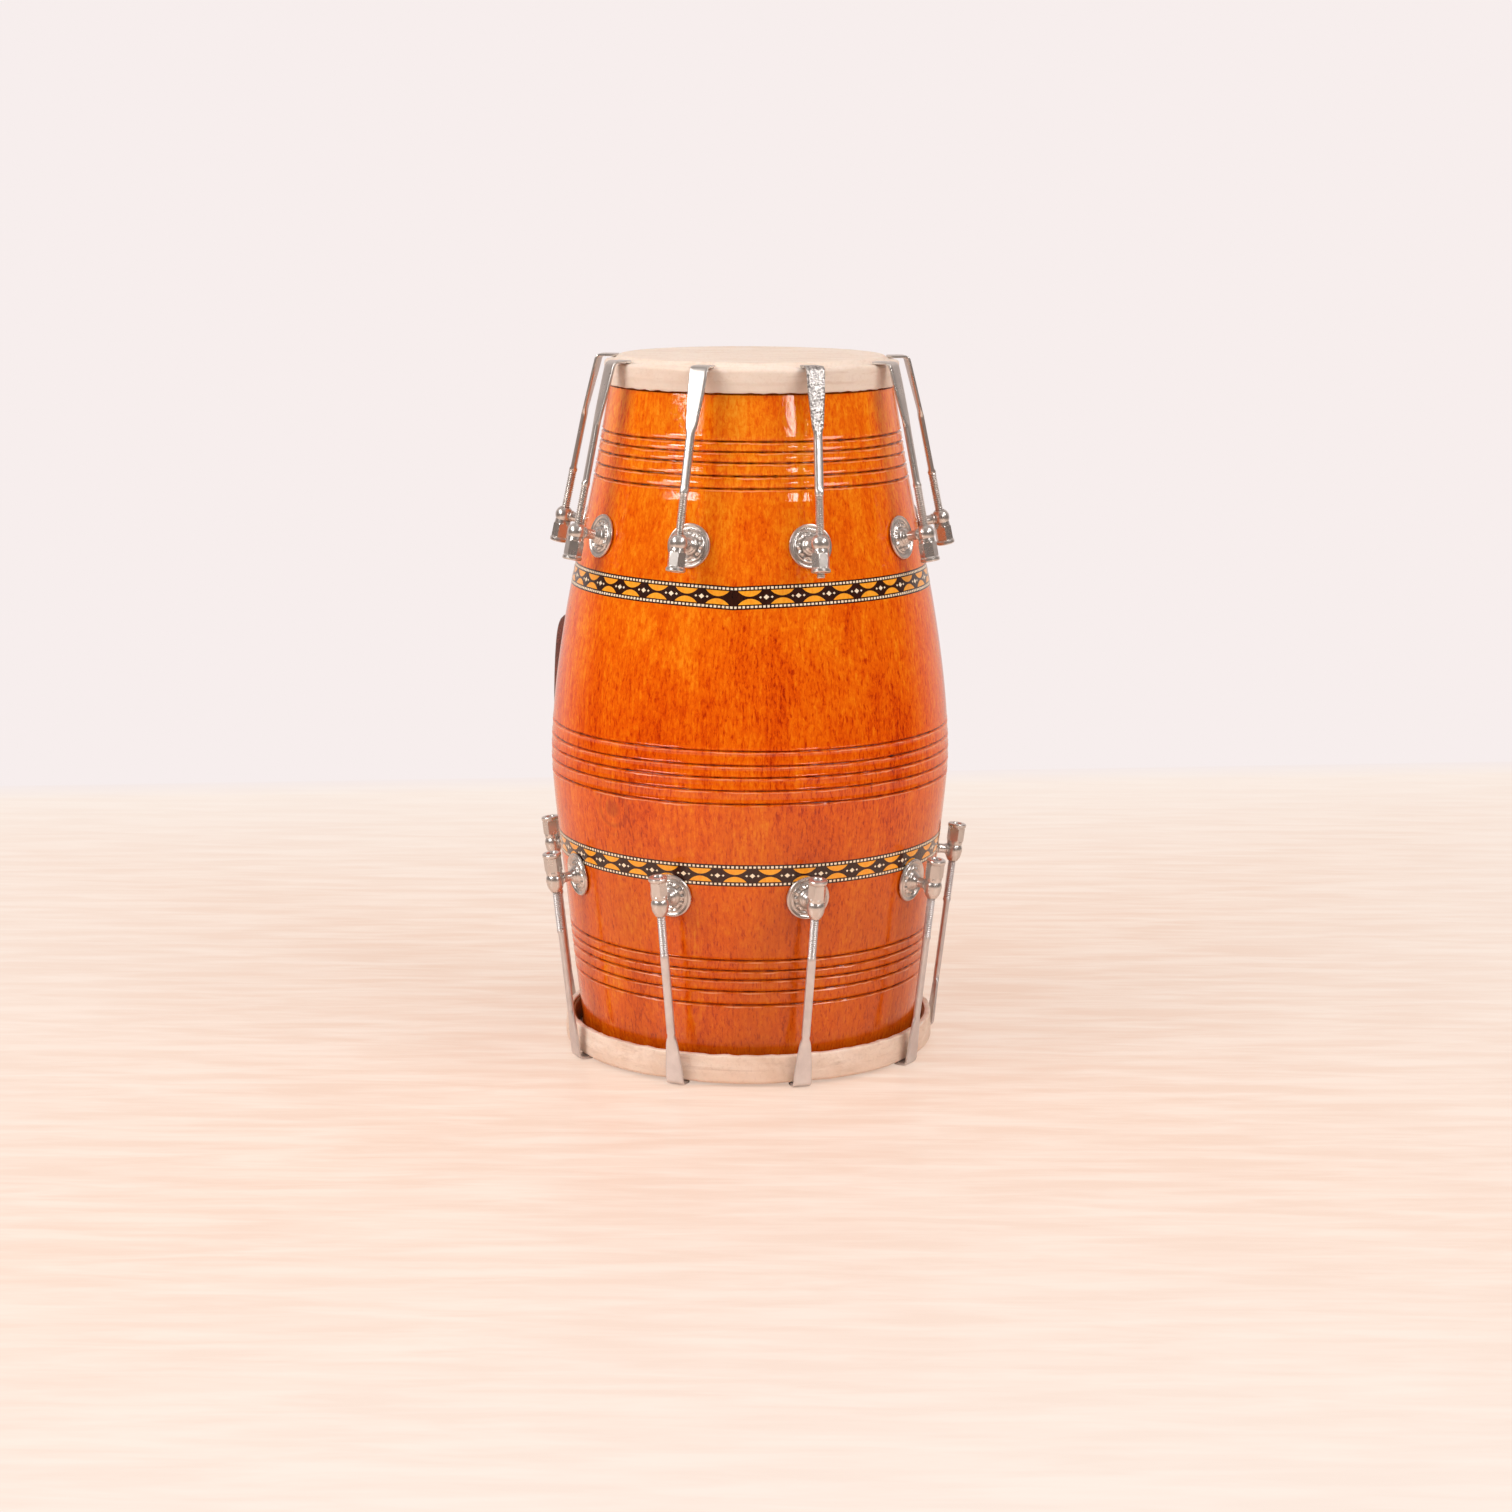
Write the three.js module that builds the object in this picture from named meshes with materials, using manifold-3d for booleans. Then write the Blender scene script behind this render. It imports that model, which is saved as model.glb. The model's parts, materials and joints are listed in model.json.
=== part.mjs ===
// Dholak: a barrel drum with two skin heads, each held by nine hooked rods.
// It stands on the claws of its bass head. Millimetres, +Z up, drum axis on Z.
import * as THREE from "three";
import { mergeVertices } from "three/addons/utils/BufferGeometryUtils.js";
import Module from "manifold-3d";

const wasm = await Module();
wasm.setup();

// Overall size and running gaps
const claspedHeight = 453; // underside of the lower claws to the top of the upper claws
const seatGap = 0.3; // left between two pieces that rest on each other
const roundSteps = 40; // facets round the drum
const smallSteps = 12; // facets round a lug or a rod

// Wooden shell. Its side runs smoothly through these shares of the clasped height and the belly's radius
const bellyRadius = 130.4;
const sideShares = [
  { height: 0.0055, radius: 0.8367 },
  { height: 0.1015, radius: 0.8819 },
  { height: 0.2119, radius: 0.9249 },
  { height: 0.3223, radius: 0.9709 },
  { height: 0.4238, radius: 1 },
  { height: 0.4945, radius: 0.99 },
  { height: 0.5695, radius: 0.9609 },
  { height: 0.6645, radius: 0.9064 },
  { height: 0.7572, radius: 0.8367 },
  { height: 0.8521, radius: 0.7692 },
  { height: 0.9594, radius: 0.7055 },
];
const wallThickness = 12;
const innerSteps = 7;
const slopeSpan = 1; // the side's slope is taken over this much height each way
const grooveWidth = 2.2;
const grooveDepth = 1.3;
const grooveShares = [
  0.1148, 0.1351, 0.1517, 0.1656, 0.1806,
  0.4077, 0.4267, 0.4446, 0.4614, 0.481,
  0.8336, 0.8508, 0.8684, 0.883, 0.8969,
]; // grooves, as shares of the clasped height
const plainShares = [
  0.035, 0.225, 0.2715, 0.318, 0.362, 0.532, 0.576, 0.6225, 0.671, 0.713, 0.757, 0.797, 0.927,
]; // corners of the side between the grooves
const rimChamfer = 3;
const innerRimChamfer = 1.4;
const spigotStep = 5.5; // the top end is turned down by this much to pass inside the treble hoop
const shoulderGap = 1.3; // between that step's shoulder and the treble hoop's lower edge

// Skins and hoops
const skinThickness = 1.2;
const ringShoulder = 2.6;
const lapWidth = 3;
const hoopThickness = 4.4;
const plateauMargin = 1; // the skin stays level this far past the shell's edge
const clawMargin = 1; // the skin is flat over the hoop from this far inside the claws' tips

// Hooked rods
const clawThickness = 1.8;
const clawReach = 4.6; // how far the claws reach in past the hoop's outer face
const bladeThickness = 2.4;
const bladeTipWidth = 12;
const bladeMiddleWidth = 11;
const bladeShoulderWidth = 7.6;
const shoulderLength = 5;
const bladeMiddleShare = 0.3; // how far from claw to shoulder the blade stays broad
const stripWidth = 5.4;
const stripThickness = 3.6;
const rodRadius = 2.7;
const rodOverlap = 1.5; // how far the round rod runs into the flat strip
const bendLength = 3;

// Nuts
const nutFlats = 10;
const nutSides = 6;
const nutLength = 13;
const nutCollarRadius = 6;
const nutCollarLength = 3;
const boreClearance = 0.15;
const rodRecess = 1.5; // rod end below the nut's outer face
const rodStub = 3; // the one long rod stands this far out of its nut

// Lugs: a round plate, a stem and a drilled ball
const ballRadius = 5.8;
const ballHoleClearance = 0.5;
const drillShare = 4; // a drill is longer than the ball by this share
const stemRadius = 3.4;
const plateRadius = 14;
const plateEdge = 2.2;
const plateDishRadius = 10.4;
const plateDish = 1.4;
const plateBossRadius = 7;
const plateBoss = 2.8;
const stemFoot = 4.8;
const shankRadius = 3;
const shankClearance = 0.3;
const innerNutRadius = 6.5;
const innerNutLength = 4;
const innerNutGap = 1;
const ballStepShares = [-0.35, 0, 0.35, 0.75]; // quarter turns along the ball's outline

// The two heads. ringGrowth is how far the skin-covered hoop stands out past the shell's end, rimSetback
// how far the shell's sounding edge lies inside that end, lugDrop the lugs' distance from the claws' outer
// faces and bladeGap the hoop's distance from the middle of the hooks' blades. Azimuths run from the front
// (-Y) towards +X, in degrees. rodLeans says how far each rod leans sideways from its ball, in degrees.
const trebleHead = {
  name: "top",
  up: 1,
  clawLevel: claspedHeight,
  ringGrowth: 3,
  ringHeight: 15,
  rimSetback: 8.5,
  plateauRise: 3.3,
  crown: 0.5,
  pasteRadius: 0,
  pasteThickness: 0,
  lugDrop: 110.5,
  ballReach: 18.6,
  threadLength: 31,
  neckReach: 67.5,
  bladeGap: 7.6,
  longRod: 4,
  lugAzimuths: [-142, -104, -59.5, -20.3, 19.6, 60, 101.5, 141, 180],
  rodLeans: [0, 0, 0, 2, 2.7, 0, 0, 0, 0],
};
const bassHead = {
  name: "bottom",
  up: -1,
  clawLevel: 0,
  ringGrowth: 12.9,
  ringHeight: 18,
  rimSetback: 3.7,
  plateauRise: 1.1,
  crown: 0.2,
  pasteRadius: 42,
  pasteThickness: 2.4,
  lugDrop: 123.2,
  ballReach: 17.2,
  threadLength: 35,
  neckReach: 88,
  bladeGap: 4.4,
  longRod: -1,
  lugAzimuths: [-148, -109, -62.5, -23.1, 17.2, 56.6, 102.5, 138, 173],
  rodLeans: [0, 0, 0, -1.8, 1.6, 0, 0, 0, 0],
};

// Carrying handle on the left at the back
const handleAzimuth = -124;
const handleMiddleShare = 0.4636; // of the clasped height
const handleLength = 126;
const handleStandoff = 22.6; // from the belly's radius to the middle of the handle's outer face
const handleBow = 3.5;
const handleThickness = 6.5;
const handleWidth = 18;
const handleCorner = 9;
const handleFootLength = 13;
const handleFootThickness = 4;
const handleSteps = 6;

// Colours, from the photograph
const lacqueredWood = new THREE.MeshStandardMaterial({ color: 0xd85a14, roughness: 0.25, metalness: 0 });
const rawSkin = new THREE.MeshStandardMaterial({ color: 0xe6d3b6, roughness: 0.7, metalness: 0 });
const bareHoop = new THREE.MeshStandardMaterial({ color: 0xa9865a, roughness: 0.75, metalness: 0 });
const brightSteel = new THREE.MeshStandardMaterial({ color: 0xc9c2bc, roughness: 0.18, metalness: 1 });
const brownLeather = new THREE.MeshStandardMaterial({ color: 0x4a2620, roughness: 0.55, metalness: 0 });

const quarterTurn = Math.PI / 2;
const ringFace = -(clawThickness + seatGap); // skin face under the claws, in a head's own frame

const sideCurve = new THREE.CubicInterpolant(
  sideShares.map((share) => share.height),
  sideShares.map((share) => share.radius),
  1,
);

function shellRadius(height) {
  return bellyRadius * sideCurve.evaluate(height / claspedHeight)[0];
}

// Slope of the drum's side as an angle from upright, at a height
function shellLean(height) {
  const change = shellRadius(height + slopeSpan) - shellRadius(height - slopeSpan);
  return Math.atan2(change, slopeSpan + slopeSpan);
}

// Where the shell's sounding edge lies, a seat's gap under the skin
function edgeLevel(head) {
  return head.clawLevel + head.up * (ringFace + head.plateauRise - skinThickness - seatGap);
}

// Where the shell's side ends: under the treble hoop, and at the sounding edge of the bass head
function sideEnd(head) {
  if (head.up < 0) return edgeLevel(head);
  return head.clawLevel + ringFace - head.ringHeight - shoulderGap;
}

function ringRadius(head) {
  return shellRadius(sideEnd(head)) + head.ringGrowth;
}

function rimRadius(head) {
  return shellRadius(sideEnd(head)) - head.rimSetback;
}

function bladeRadius(head) {
  return ringRadius(head) + head.bladeGap;
}

function clawTipRadius(head) {
  return ringRadius(head) - clawReach;
}

function lugHeight(head) {
  return head.clawLevel - head.up * head.lugDrop;
}

function toSolid(geometry) {
  const bare = geometry.index ? geometry.toNonIndexed() : geometry.clone();
  bare.deleteAttribute("normal");
  bare.deleteAttribute("uv");
  const merged = mergeVertices(bare);
  const mesh = new wasm.Mesh({
    numProp: 3,
    vertProperties: new Float32Array(merged.attributes.position.array),
    triVerts: new Uint32Array(merged.index.array),
  });
  return new wasm.Manifold(mesh);
}

function toGeometry(solid) {
  const mesh = solid.getMesh();
  const corners = new THREE.BufferAttribute(mesh.vertProperties, mesh.numProp);
  const geometry = new THREE.BufferGeometry();
  geometry.setAttribute("position", corners);
  geometry.setIndex(new THREE.BufferAttribute(mesh.triVerts, 1));
  geometry.computeVertexNormals();
  return geometry;
}

// A body of revolution about Z from points of [radius, height]
function turned(points, steps) {
  const profile = points.map(([radius, height]) => new THREE.Vector2(radius, height));
  return new THREE.LatheGeometry(profile, steps).rotateX(quarterTurn);
}

// A flat outline of [across, up] points, made thick by width about its own plane, standing in XZ
function slab(points, width) {
  const outline = new THREE.Shape(points.map(([across, up]) => new THREE.Vector2(across, up)));
  const solid = new THREE.ExtrudeGeometry(outline, { depth: width, bevelEnabled: false });
  return solid.translate(0, 0, -width / 2).rotateX(quarterTurn);
}

function namedMesh(name, geometry, material) {
  const mesh = new THREE.Mesh(geometry, material);
  mesh.name = name;
  return mesh;
}

// Where a head's frame lies: its origin at the claws' outer faces, its +Z pointing out of the drum
function placeHead(object, head) {
  object.rotation.x = head.up > 0 ? 0 : Math.PI;
  object.position.z = head.clawLevel;
}

// Turns an azimuth into the turn about Z that brings +X onto it, in a head's frame
function stationTurn(head, azimuth) {
  return head.up * (THREE.MathUtils.degToRad(azimuth) - quarterTurn);
}

// The straight lines that a station's pieces share, in the plane of its radius
function stationLines(head) {
  const lean = -head.up * shellLean(lugHeight(head));
  const stem = new THREE.Vector2(Math.cos(lean), Math.sin(lean));
  const rod = new THREE.Vector2(-Math.sin(lean), Math.cos(lean));
  const seat = new THREE.Vector2(shellRadius(lugHeight(head)), -head.lugDrop);
  const ball = seat.clone().addScaledVector(stem, head.ballReach);
  return { lean, stem, rod, seat, ball };
}

function alongRod(lines, reach, outward) {
  const point = lines.ball.clone();
  point.addScaledVector(lines.rod, reach);
  point.addScaledVector(lines.stem, outward);
  return [point.x, point.y];
}

function shellProfile() {
  const halfGroove = grooveWidth / 2;
  const outer = plainShares.map((share) => [shellRadius(share * claspedHeight), share * claspedHeight]);
  for (const share of grooveShares) {
    const height = share * claspedHeight;
    outer.push([shellRadius(height - halfGroove), height - halfGroove]);
    outer.push([shellRadius(height) - grooveDepth, height]);
    outer.push([shellRadius(height + halfGroove), height + halfGroove]);
  }
  outer.sort((first, second) => first[1] - second[1]);

  const bassEdge = edgeLevel(bassHead);
  const trebleEdge = edgeLevel(trebleHead);
  const shoulder = sideEnd(trebleHead);
  const spigotRadius = shellRadius(shoulder) - spigotStep;
  const bassInner = shellRadius(bassEdge) - wallThickness;
  const trebleInner = shellRadius(shoulder) - wallThickness;

  const inner = [];
  for (let step = 1; step < innerSteps; step += 1) {
    const height = THREE.MathUtils.lerp(shoulder, bassEdge, step / innerSteps);
    inner.push([shellRadius(height) - wallThickness, height]);
  }
  return [
    [rimRadius(bassHead), bassEdge],
    [shellRadius(bassEdge + rimChamfer), bassEdge + rimChamfer],
    ...outer,
    [shellRadius(shoulder), shoulder],
    [spigotRadius, shoulder],
    [spigotRadius, trebleEdge - rimChamfer],
    [rimRadius(trebleHead), trebleEdge],
    [trebleInner + innerRimChamfer, trebleEdge],
    [trebleInner, trebleEdge - innerRimChamfer],
    [trebleInner, shoulder],
    ...inner,
    [bassInner, bassEdge + innerRimChamfer],
    [bassInner + innerRimChamfer, bassEdge],
    [rimRadius(bassHead), bassEdge],
  ];
}

// A hole for each lug's shank, square to the drum's side
function shankHole(head, azimuth) {
  const lines = stationLines(head);
  const reach = wallThickness + wallThickness;
  const hole = new THREE.CylinderGeometry(
    shankRadius + shankClearance,
    shankRadius + shankClearance,
    reach + reach,
    smallSteps,
  );
  hole.rotateZ(-quarterTurn).rotateY(-lines.lean);
  hole.translate(lines.seat.x, 0, lines.seat.y);
  const holder = new THREE.Group();
  placeHead(holder, head);
  const station = new THREE.Group();
  station.rotation.z = stationTurn(head, azimuth);
  holder.add(station);
  holder.updateMatrixWorld(true);
  return toSolid(hole.applyMatrix4(station.matrixWorld));
}

function buildShell() {
  let shell = toSolid(turned(shellProfile(), roundSteps));
  for (const head of [trebleHead, bassHead]) {
    for (const azimuth of head.lugAzimuths) {
      shell = shell.subtract(shankHole(head, azimuth));
    }
  }
  return namedMesh("shell", toGeometry(shell), lacqueredWood);
}

// The skin runs over the shell's edge, down over the hoop and a little way in beneath it
function buildSkin(head) {
  const plateau = ringFace + head.plateauRise;
  const ringEnd = ringFace - head.ringHeight;
  const outerRadius = ringRadius(head);
  const wrapRadius = outerRadius - skinThickness;
  const pasteLevel = plateau - skinThickness - head.pasteThickness;
  const slopeStart = rimRadius(head) + plateauMargin;
  const slopeEnd = clawTipRadius(head) - clawMargin;
  const points = [
    [0, plateau + head.crown],
    [slopeStart, plateau],
    [slopeEnd, ringFace],
    [outerRadius - ringShoulder, ringFace],
    [outerRadius, ringFace - ringShoulder],
    [outerRadius, ringEnd],
    [wrapRadius - lapWidth, ringEnd],
    [wrapRadius - lapWidth, ringEnd + skinThickness],
    [wrapRadius, ringEnd + skinThickness],
    [wrapRadius, ringFace - ringShoulder - skinThickness / 2],
    [wrapRadius - ringShoulder, ringFace - skinThickness],
    [slopeEnd - skinThickness / 2, ringFace - skinThickness],
    [slopeStart - skinThickness / 2, plateau - skinThickness],
  ];
  if (head.pasteRadius > 0) {
    points.push([head.pasteRadius + head.pasteThickness, plateau - skinThickness]);
    points.push([head.pasteRadius, pasteLevel]);
  }
  points.push([0, pasteLevel + head.crown]);
  return namedMesh(`${head.name}_skin`, turned(points.reverse(), roundSteps), rawSkin);
}

function buildHoop(head) {
  const outer = ringRadius(head) - skinThickness - seatGap;
  const inner = outer - hoopThickness;
  const upper = ringFace - skinThickness - seatGap;
  const lower = ringFace - head.ringHeight + skinThickness + seatGap;
  const points = [
    [inner, upper],
    [inner, lower],
    [outer, lower],
    [outer, upper - ringShoulder],
    [outer - ringShoulder, upper],
    [inner, upper],
  ];
  return namedMesh(`${head.name}_hoop`, turned(points, roundSteps), bareHoop);
}

function lugGeometry(head) {
  const lines = stationLines(head);
  const innerNutFace = -(wallThickness + innerNutGap);
  const quarter = (share) => share * quarterTurn;
  const ballOutline = ballStepShares.map((share) => [
    ballRadius * Math.cos(quarter(share)),
    head.ballReach + ballRadius * Math.sin(quarter(share)),
  ]);
  const stemTop = head.ballReach - Math.sqrt(ballRadius ** 2 - stemRadius ** 2);
  const points = [
    [0, innerNutFace - innerNutLength],
    [innerNutRadius, innerNutFace - innerNutLength],
    [innerNutRadius, innerNutFace],
    [shankRadius, innerNutFace],
    [shankRadius, seatGap],
    [plateRadius, seatGap],
    [plateRadius, plateEdge],
    [plateDishRadius, plateDish],
    [plateBossRadius, plateBoss],
    [stemRadius, stemFoot],
    [stemRadius, stemTop],
    ...ballOutline,
    [0, head.ballReach + ballRadius],
  ];
  const body = turned(points, smallSteps);
  body.rotateY(quarterTurn - lines.lean);
  body.translate(lines.seat.x, 0, lines.seat.y);

  const holeRadius = rodRadius + ballHoleClearance;
  const holeLength = ballRadius * drillShare;
  const hole = new THREE.CylinderGeometry(holeRadius, holeRadius, holeLength, smallSteps);
  hole.rotateX(quarterTurn).rotateY(-lines.lean);
  hole.translate(lines.ball.x, 0, lines.ball.y);
  return toGeometry(toSolid(body).subtract(toSolid(hole)));
}

// Side view of a hook: a flat strip, a thinner blade and a claw turned in over the hoop
function hookSide(head, lines) {
  const halfStrip = stripThickness / 2;
  const halfBlade = bladeThickness / 2;
  const bladeTop = -clawThickness;
  const neck = head.neckReach;
  const blade = bladeRadius(head);
  const tip = clawTipRadius(head);
  return [
    alongRod(lines, head.threadLength, -halfStrip),
    alongRod(lines, neck, -halfStrip),
    alongRod(lines, neck + shoulderLength, -halfBlade),
    [blade - halfBlade, bladeTop],
    [tip, bladeTop],
    [tip, 0],
    [blade - bendLength / 2, 0],
    [blade + halfBlade, -bendLength],
    alongRod(lines, neck + shoulderLength, halfBlade),
    alongRod(lines, neck, halfStrip),
    alongRod(lines, head.threadLength, halfStrip),
  ];
}

// Front view of a hook: a spade that narrows from the claw to its shoulders, then the strip
function hookFront(head, lines) {
  const levelAt = (reach) => alongRod(lines, reach, 0)[1];
  const bottom = levelAt(head.threadLength) - stripThickness;
  const neck = levelAt(head.neckReach);
  const shoulder = levelAt(head.neckReach + shoulderLength);
  const middle = THREE.MathUtils.lerp(0, shoulder, bladeMiddleShare);
  const right = [
    [stripWidth / 2, bottom],
    [stripWidth / 2, neck],
    [bladeShoulderWidth / 2, shoulder],
    [bladeMiddleWidth / 2, middle],
    [bladeTipWidth / 2, clawThickness],
  ];
  const left = right.map(([across, level]) => [-across, level]).reverse();
  return [...right, ...left];
}

function hookGeometry(head, rodEnd) {
  const lines = stationLines(head);
  const side = toSolid(slab(hookSide(head, lines), bladeTipWidth * 2));
  const frontDepth = bladeRadius(head) * 2;
  const front = slab(hookFront(head, lines), frontDepth).rotateZ(quarterTurn);
  front.translate(bladeRadius(head), 0, 0);
  const flat = side.intersect(toSolid(front));

  const rodTop = head.threadLength + rodOverlap;
  const rodLength = rodTop + rodEnd;
  const [rodX, rodZ] = alongRod(lines, (rodTop - rodEnd) / 2, 0);
  const rod = new THREE.CylinderGeometry(rodRadius, rodRadius, rodLength, smallSteps);
  rod.rotateX(quarterTurn).rotateY(-lines.lean);
  rod.translate(rodX, 0, rodZ);
  return toGeometry(flat.add(toSolid(rod)));
}

function nutFace() {
  const holeRadius = rodRadius + ballHoleClearance;
  return Math.sqrt(ballRadius ** 2 - holeRadius ** 2) + seatGap;
}

// A long six-sided nut with a round collar at its outer end, under the ball
function nutGeometry(head) {
  const lines = stationLines(head);
  const cornerRadius = nutFlats / Math.sqrt(3);
  const hexLength = nutLength - nutCollarLength / 2;
  const hex = new THREE.CylinderGeometry(cornerRadius, cornerRadius, hexLength, nutSides);
  hex.translate(0, -hexLength / 2, 0);
  const collar = new THREE.CylinderGeometry(nutCollarRadius, nutCollarRadius, nutCollarLength, smallSteps);
  collar.translate(0, -nutLength + nutCollarLength / 2, 0);
  const boreRadius = rodRadius + boreClearance;
  const bore = new THREE.CylinderGeometry(boreRadius, boreRadius, nutLength * 2, smallSteps);
  bore.translate(0, -nutLength / 2, 0);
  const nut = toGeometry(toSolid(hex).add(toSolid(collar)).subtract(toSolid(bore)));
  nut.rotateX(quarterTurn).rotateY(-lines.lean);
  const [faceX, faceZ] = alongRod(lines, -nutFace(), 0);
  return nut.translate(faceX, 0, faceZ);
}

// Leans a hook sideways from the middle of its ball and keeps its claw level
function hookLean(lines, lean) {
  const slope = Math.tan(lean);
  const shear = new THREE.Matrix4().makeShear(slope * lines.rod.x, 0, 0, 0, 0, slope * lines.rod.y);
  return shear.setPosition(0, -slope * lines.ball.dot(lines.rod), 0);
}

// Turns a nut sideways about the middle of its ball
function nutLean(lines, lean) {
  const middle = new THREE.Vector3(lines.ball.x, 0, lines.ball.y);
  const stem = new THREE.Vector3(lines.stem.x, 0, lines.stem.y);
  const turn = new THREE.Matrix4().makeRotationAxis(stem, -lean);
  return turn.setPosition(middle.clone().sub(middle.clone().applyMatrix4(turn)));
}

// One head: its skin and hoop, and nine stations of lug, hook and nut
function buildHead(head) {
  const group = new THREE.Group();
  placeHead(group, head);
  group.add(buildSkin(head), buildHoop(head));
  const lines = stationLines(head);
  const nutEnd = nutFace() + nutLength;
  const lug = lugGeometry(head);
  const nut = nutGeometry(head);
  const hook = hookGeometry(head, nutEnd - rodRecess);
  const longHook = hookGeometry(head, nutEnd + rodStub);
  head.lugAzimuths.forEach((azimuth, index) => {
    const station = new THREE.Group();
    station.rotation.z = stationTurn(head, azimuth);
    const lean = THREE.MathUtils.degToRad(head.rodLeans[index]);
    const ownHook = (index === head.longRod ? longHook : hook).clone().applyMatrix4(hookLean(lines, lean));
    const ownNut = nut.clone().applyMatrix4(nutLean(lines, lean));
    const number = index + 1;
    station.add(namedMesh(`${head.name}_lug_${number}`, lug, brightSteel));
    station.add(namedMesh(`${head.name}_hook_${number}`, ownHook, brightSteel));
    station.add(namedMesh(`${head.name}_nut_${number}`, ownNut, brightSteel));
    group.add(station);
  });
  return group;
}

// A bowed bar with rounded ends that turn in to two feet on the shell
function buildHandle() {
  const outline = new THREE.Shape();
  const outerReach = bellyRadius + handleStandoff;
  const endReach = outerReach - handleBow;
  const middle = handleMiddleShare * claspedHeight;
  const handleTop = middle + handleLength / 2;
  const handleBottom = middle - handleLength / 2;
  const footAt = (height) => shellRadius(height) + seatGap;
  const inner = handleCorner - handleThickness;
  const gapTop = handleTop - handleThickness;
  const gapBottom = handleBottom + handleThickness;
  const innerReach = endReach - handleThickness;
  const bowControl = outerReach + handleBow;
  outline.moveTo(footAt(handleTop + handleFootLength), handleTop + handleFootLength);
  outline.lineTo(footAt(handleTop + handleFootLength) + handleFootThickness, handleTop + handleFootLength);
  outline.lineTo(footAt(handleTop) + handleFootThickness, handleTop);
  outline.lineTo(endReach - handleCorner, handleTop);
  outline.quadraticCurveTo(endReach, handleTop, endReach, handleTop - handleCorner);
  outline.quadraticCurveTo(bowControl, middle, endReach, handleBottom + handleCorner);
  outline.quadraticCurveTo(endReach, handleBottom, endReach - handleCorner, handleBottom);
  outline.lineTo(footAt(handleBottom) + handleFootThickness, handleBottom);
  const footEnd = handleBottom - handleFootLength;
  outline.lineTo(footAt(footEnd) + handleFootThickness, footEnd);
  outline.lineTo(footAt(footEnd), footEnd);
  outline.lineTo(footAt(gapBottom), gapBottom);
  outline.lineTo(innerReach - inner, gapBottom);
  outline.quadraticCurveTo(innerReach, gapBottom, innerReach, gapBottom + inner);
  outline.quadraticCurveTo(bowControl - handleThickness, middle, innerReach, gapTop - inner);
  outline.quadraticCurveTo(innerReach, gapTop, innerReach - inner, gapTop);
  outline.lineTo(footAt(gapTop), gapTop);
  outline.closePath();
  const options = { depth: handleWidth, bevelEnabled: false, curveSegments: handleSteps };
  const bar = new THREE.ExtrudeGeometry(outline, options);
  bar.translate(0, 0, -handleWidth / 2).rotateX(quarterTurn);
  const handle = namedMesh("handle", bar, brownLeather);
  handle.rotation.z = THREE.MathUtils.degToRad(handleAzimuth) - quarterTurn;
  return handle;
}

const dholak = new THREE.Group();
dholak.add(buildShell(), buildHandle(), buildHead(trebleHead), buildHead(bassHead));

export default dholak;
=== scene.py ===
"""Looks of a dholak, a barrel drum that stands on its bass head. Metres, +Z up, drum axis on Z."""

import json
import math
from functools import partialmethod

import bmesh
import bpy
import numpy as np
from mathutils import Matrix, Vector


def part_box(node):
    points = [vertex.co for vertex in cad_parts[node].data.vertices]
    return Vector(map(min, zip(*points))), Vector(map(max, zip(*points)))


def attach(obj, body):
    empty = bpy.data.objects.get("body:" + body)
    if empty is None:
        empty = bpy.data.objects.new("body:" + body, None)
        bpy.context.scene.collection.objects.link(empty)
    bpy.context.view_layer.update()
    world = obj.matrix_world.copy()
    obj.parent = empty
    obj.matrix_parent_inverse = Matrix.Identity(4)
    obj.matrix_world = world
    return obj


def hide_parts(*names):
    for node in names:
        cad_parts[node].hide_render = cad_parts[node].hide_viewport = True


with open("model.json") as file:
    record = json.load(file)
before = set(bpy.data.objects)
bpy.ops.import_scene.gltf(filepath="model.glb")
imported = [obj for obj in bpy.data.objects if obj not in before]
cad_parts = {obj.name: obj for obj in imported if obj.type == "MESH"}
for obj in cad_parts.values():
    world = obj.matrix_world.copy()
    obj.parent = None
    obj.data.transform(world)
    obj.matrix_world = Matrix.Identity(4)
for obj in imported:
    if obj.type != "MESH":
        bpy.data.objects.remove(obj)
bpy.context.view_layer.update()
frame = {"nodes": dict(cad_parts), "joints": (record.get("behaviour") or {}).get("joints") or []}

MM = 0.001
TAU = math.tau
HERE = Matrix.Identity(4)
randoms = np.random.default_rng(11)
joints = {joint["name"]: joint for joint in frame["joints"]}


def rgb(*screen):
    """A colour written in screen values from 0 to 255, as the shader wants it."""
    return (*(((part / 255 + 0.055) / 1.055) ** 2.4 if part > 10 else part / 3295 for part in screen), 1)


def dimmed(colour, share):
    return (*(share * part for part in colour[:3]), 1)


# Camera, fitted to the photograph
CAMERA_PLACE = Vector((4, -2002, 579)) * MM
CAMERA_DOWN = math.radians(10.987)
CAMERA_ROLL = math.radians(0.30)
FOCAL_SHARE = 2.041  # focal length over the frame's width
SENSOR_WIDTH = 36.0

# Studio
WALL_COLOUR = rgb(247, 238, 237)
REFLECTED_WALL = rgb(222, 206, 200)
ROOM_COLOUR = rgb(84, 70, 62)
CEILING_COLOUR = rgb(150, 138, 132)
SOFT_COLOUR = (1.0, 0.965, 0.94, 1)
SOFT_LIGHT = 0.55
ROOM_TO_WALL = (0.2, 0.8)  # shares of Y between which the dark room turns into the pale wall
ROOM_TO_CEILING = (0.15, 0.9)
TABLE_HALF = 0.86
TABLE_EDGE_SLOPE = 0.11
TABLE_EDGE_BLUR = 0.035
TABLE_FRONT = (0.95, 1.1)  # where the table gives way to the room in reflections
TABLE_BACK = (0.8, 1.6)
TABLE_SIDE = (0.5, 1.7)
TABLE_SHOWN = 0.6  # share of the table that the camera sees in its own colour, whatever light it gets
FLOOR_HALF = 12.0
FLOOR_DROP = 0.0002
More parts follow.
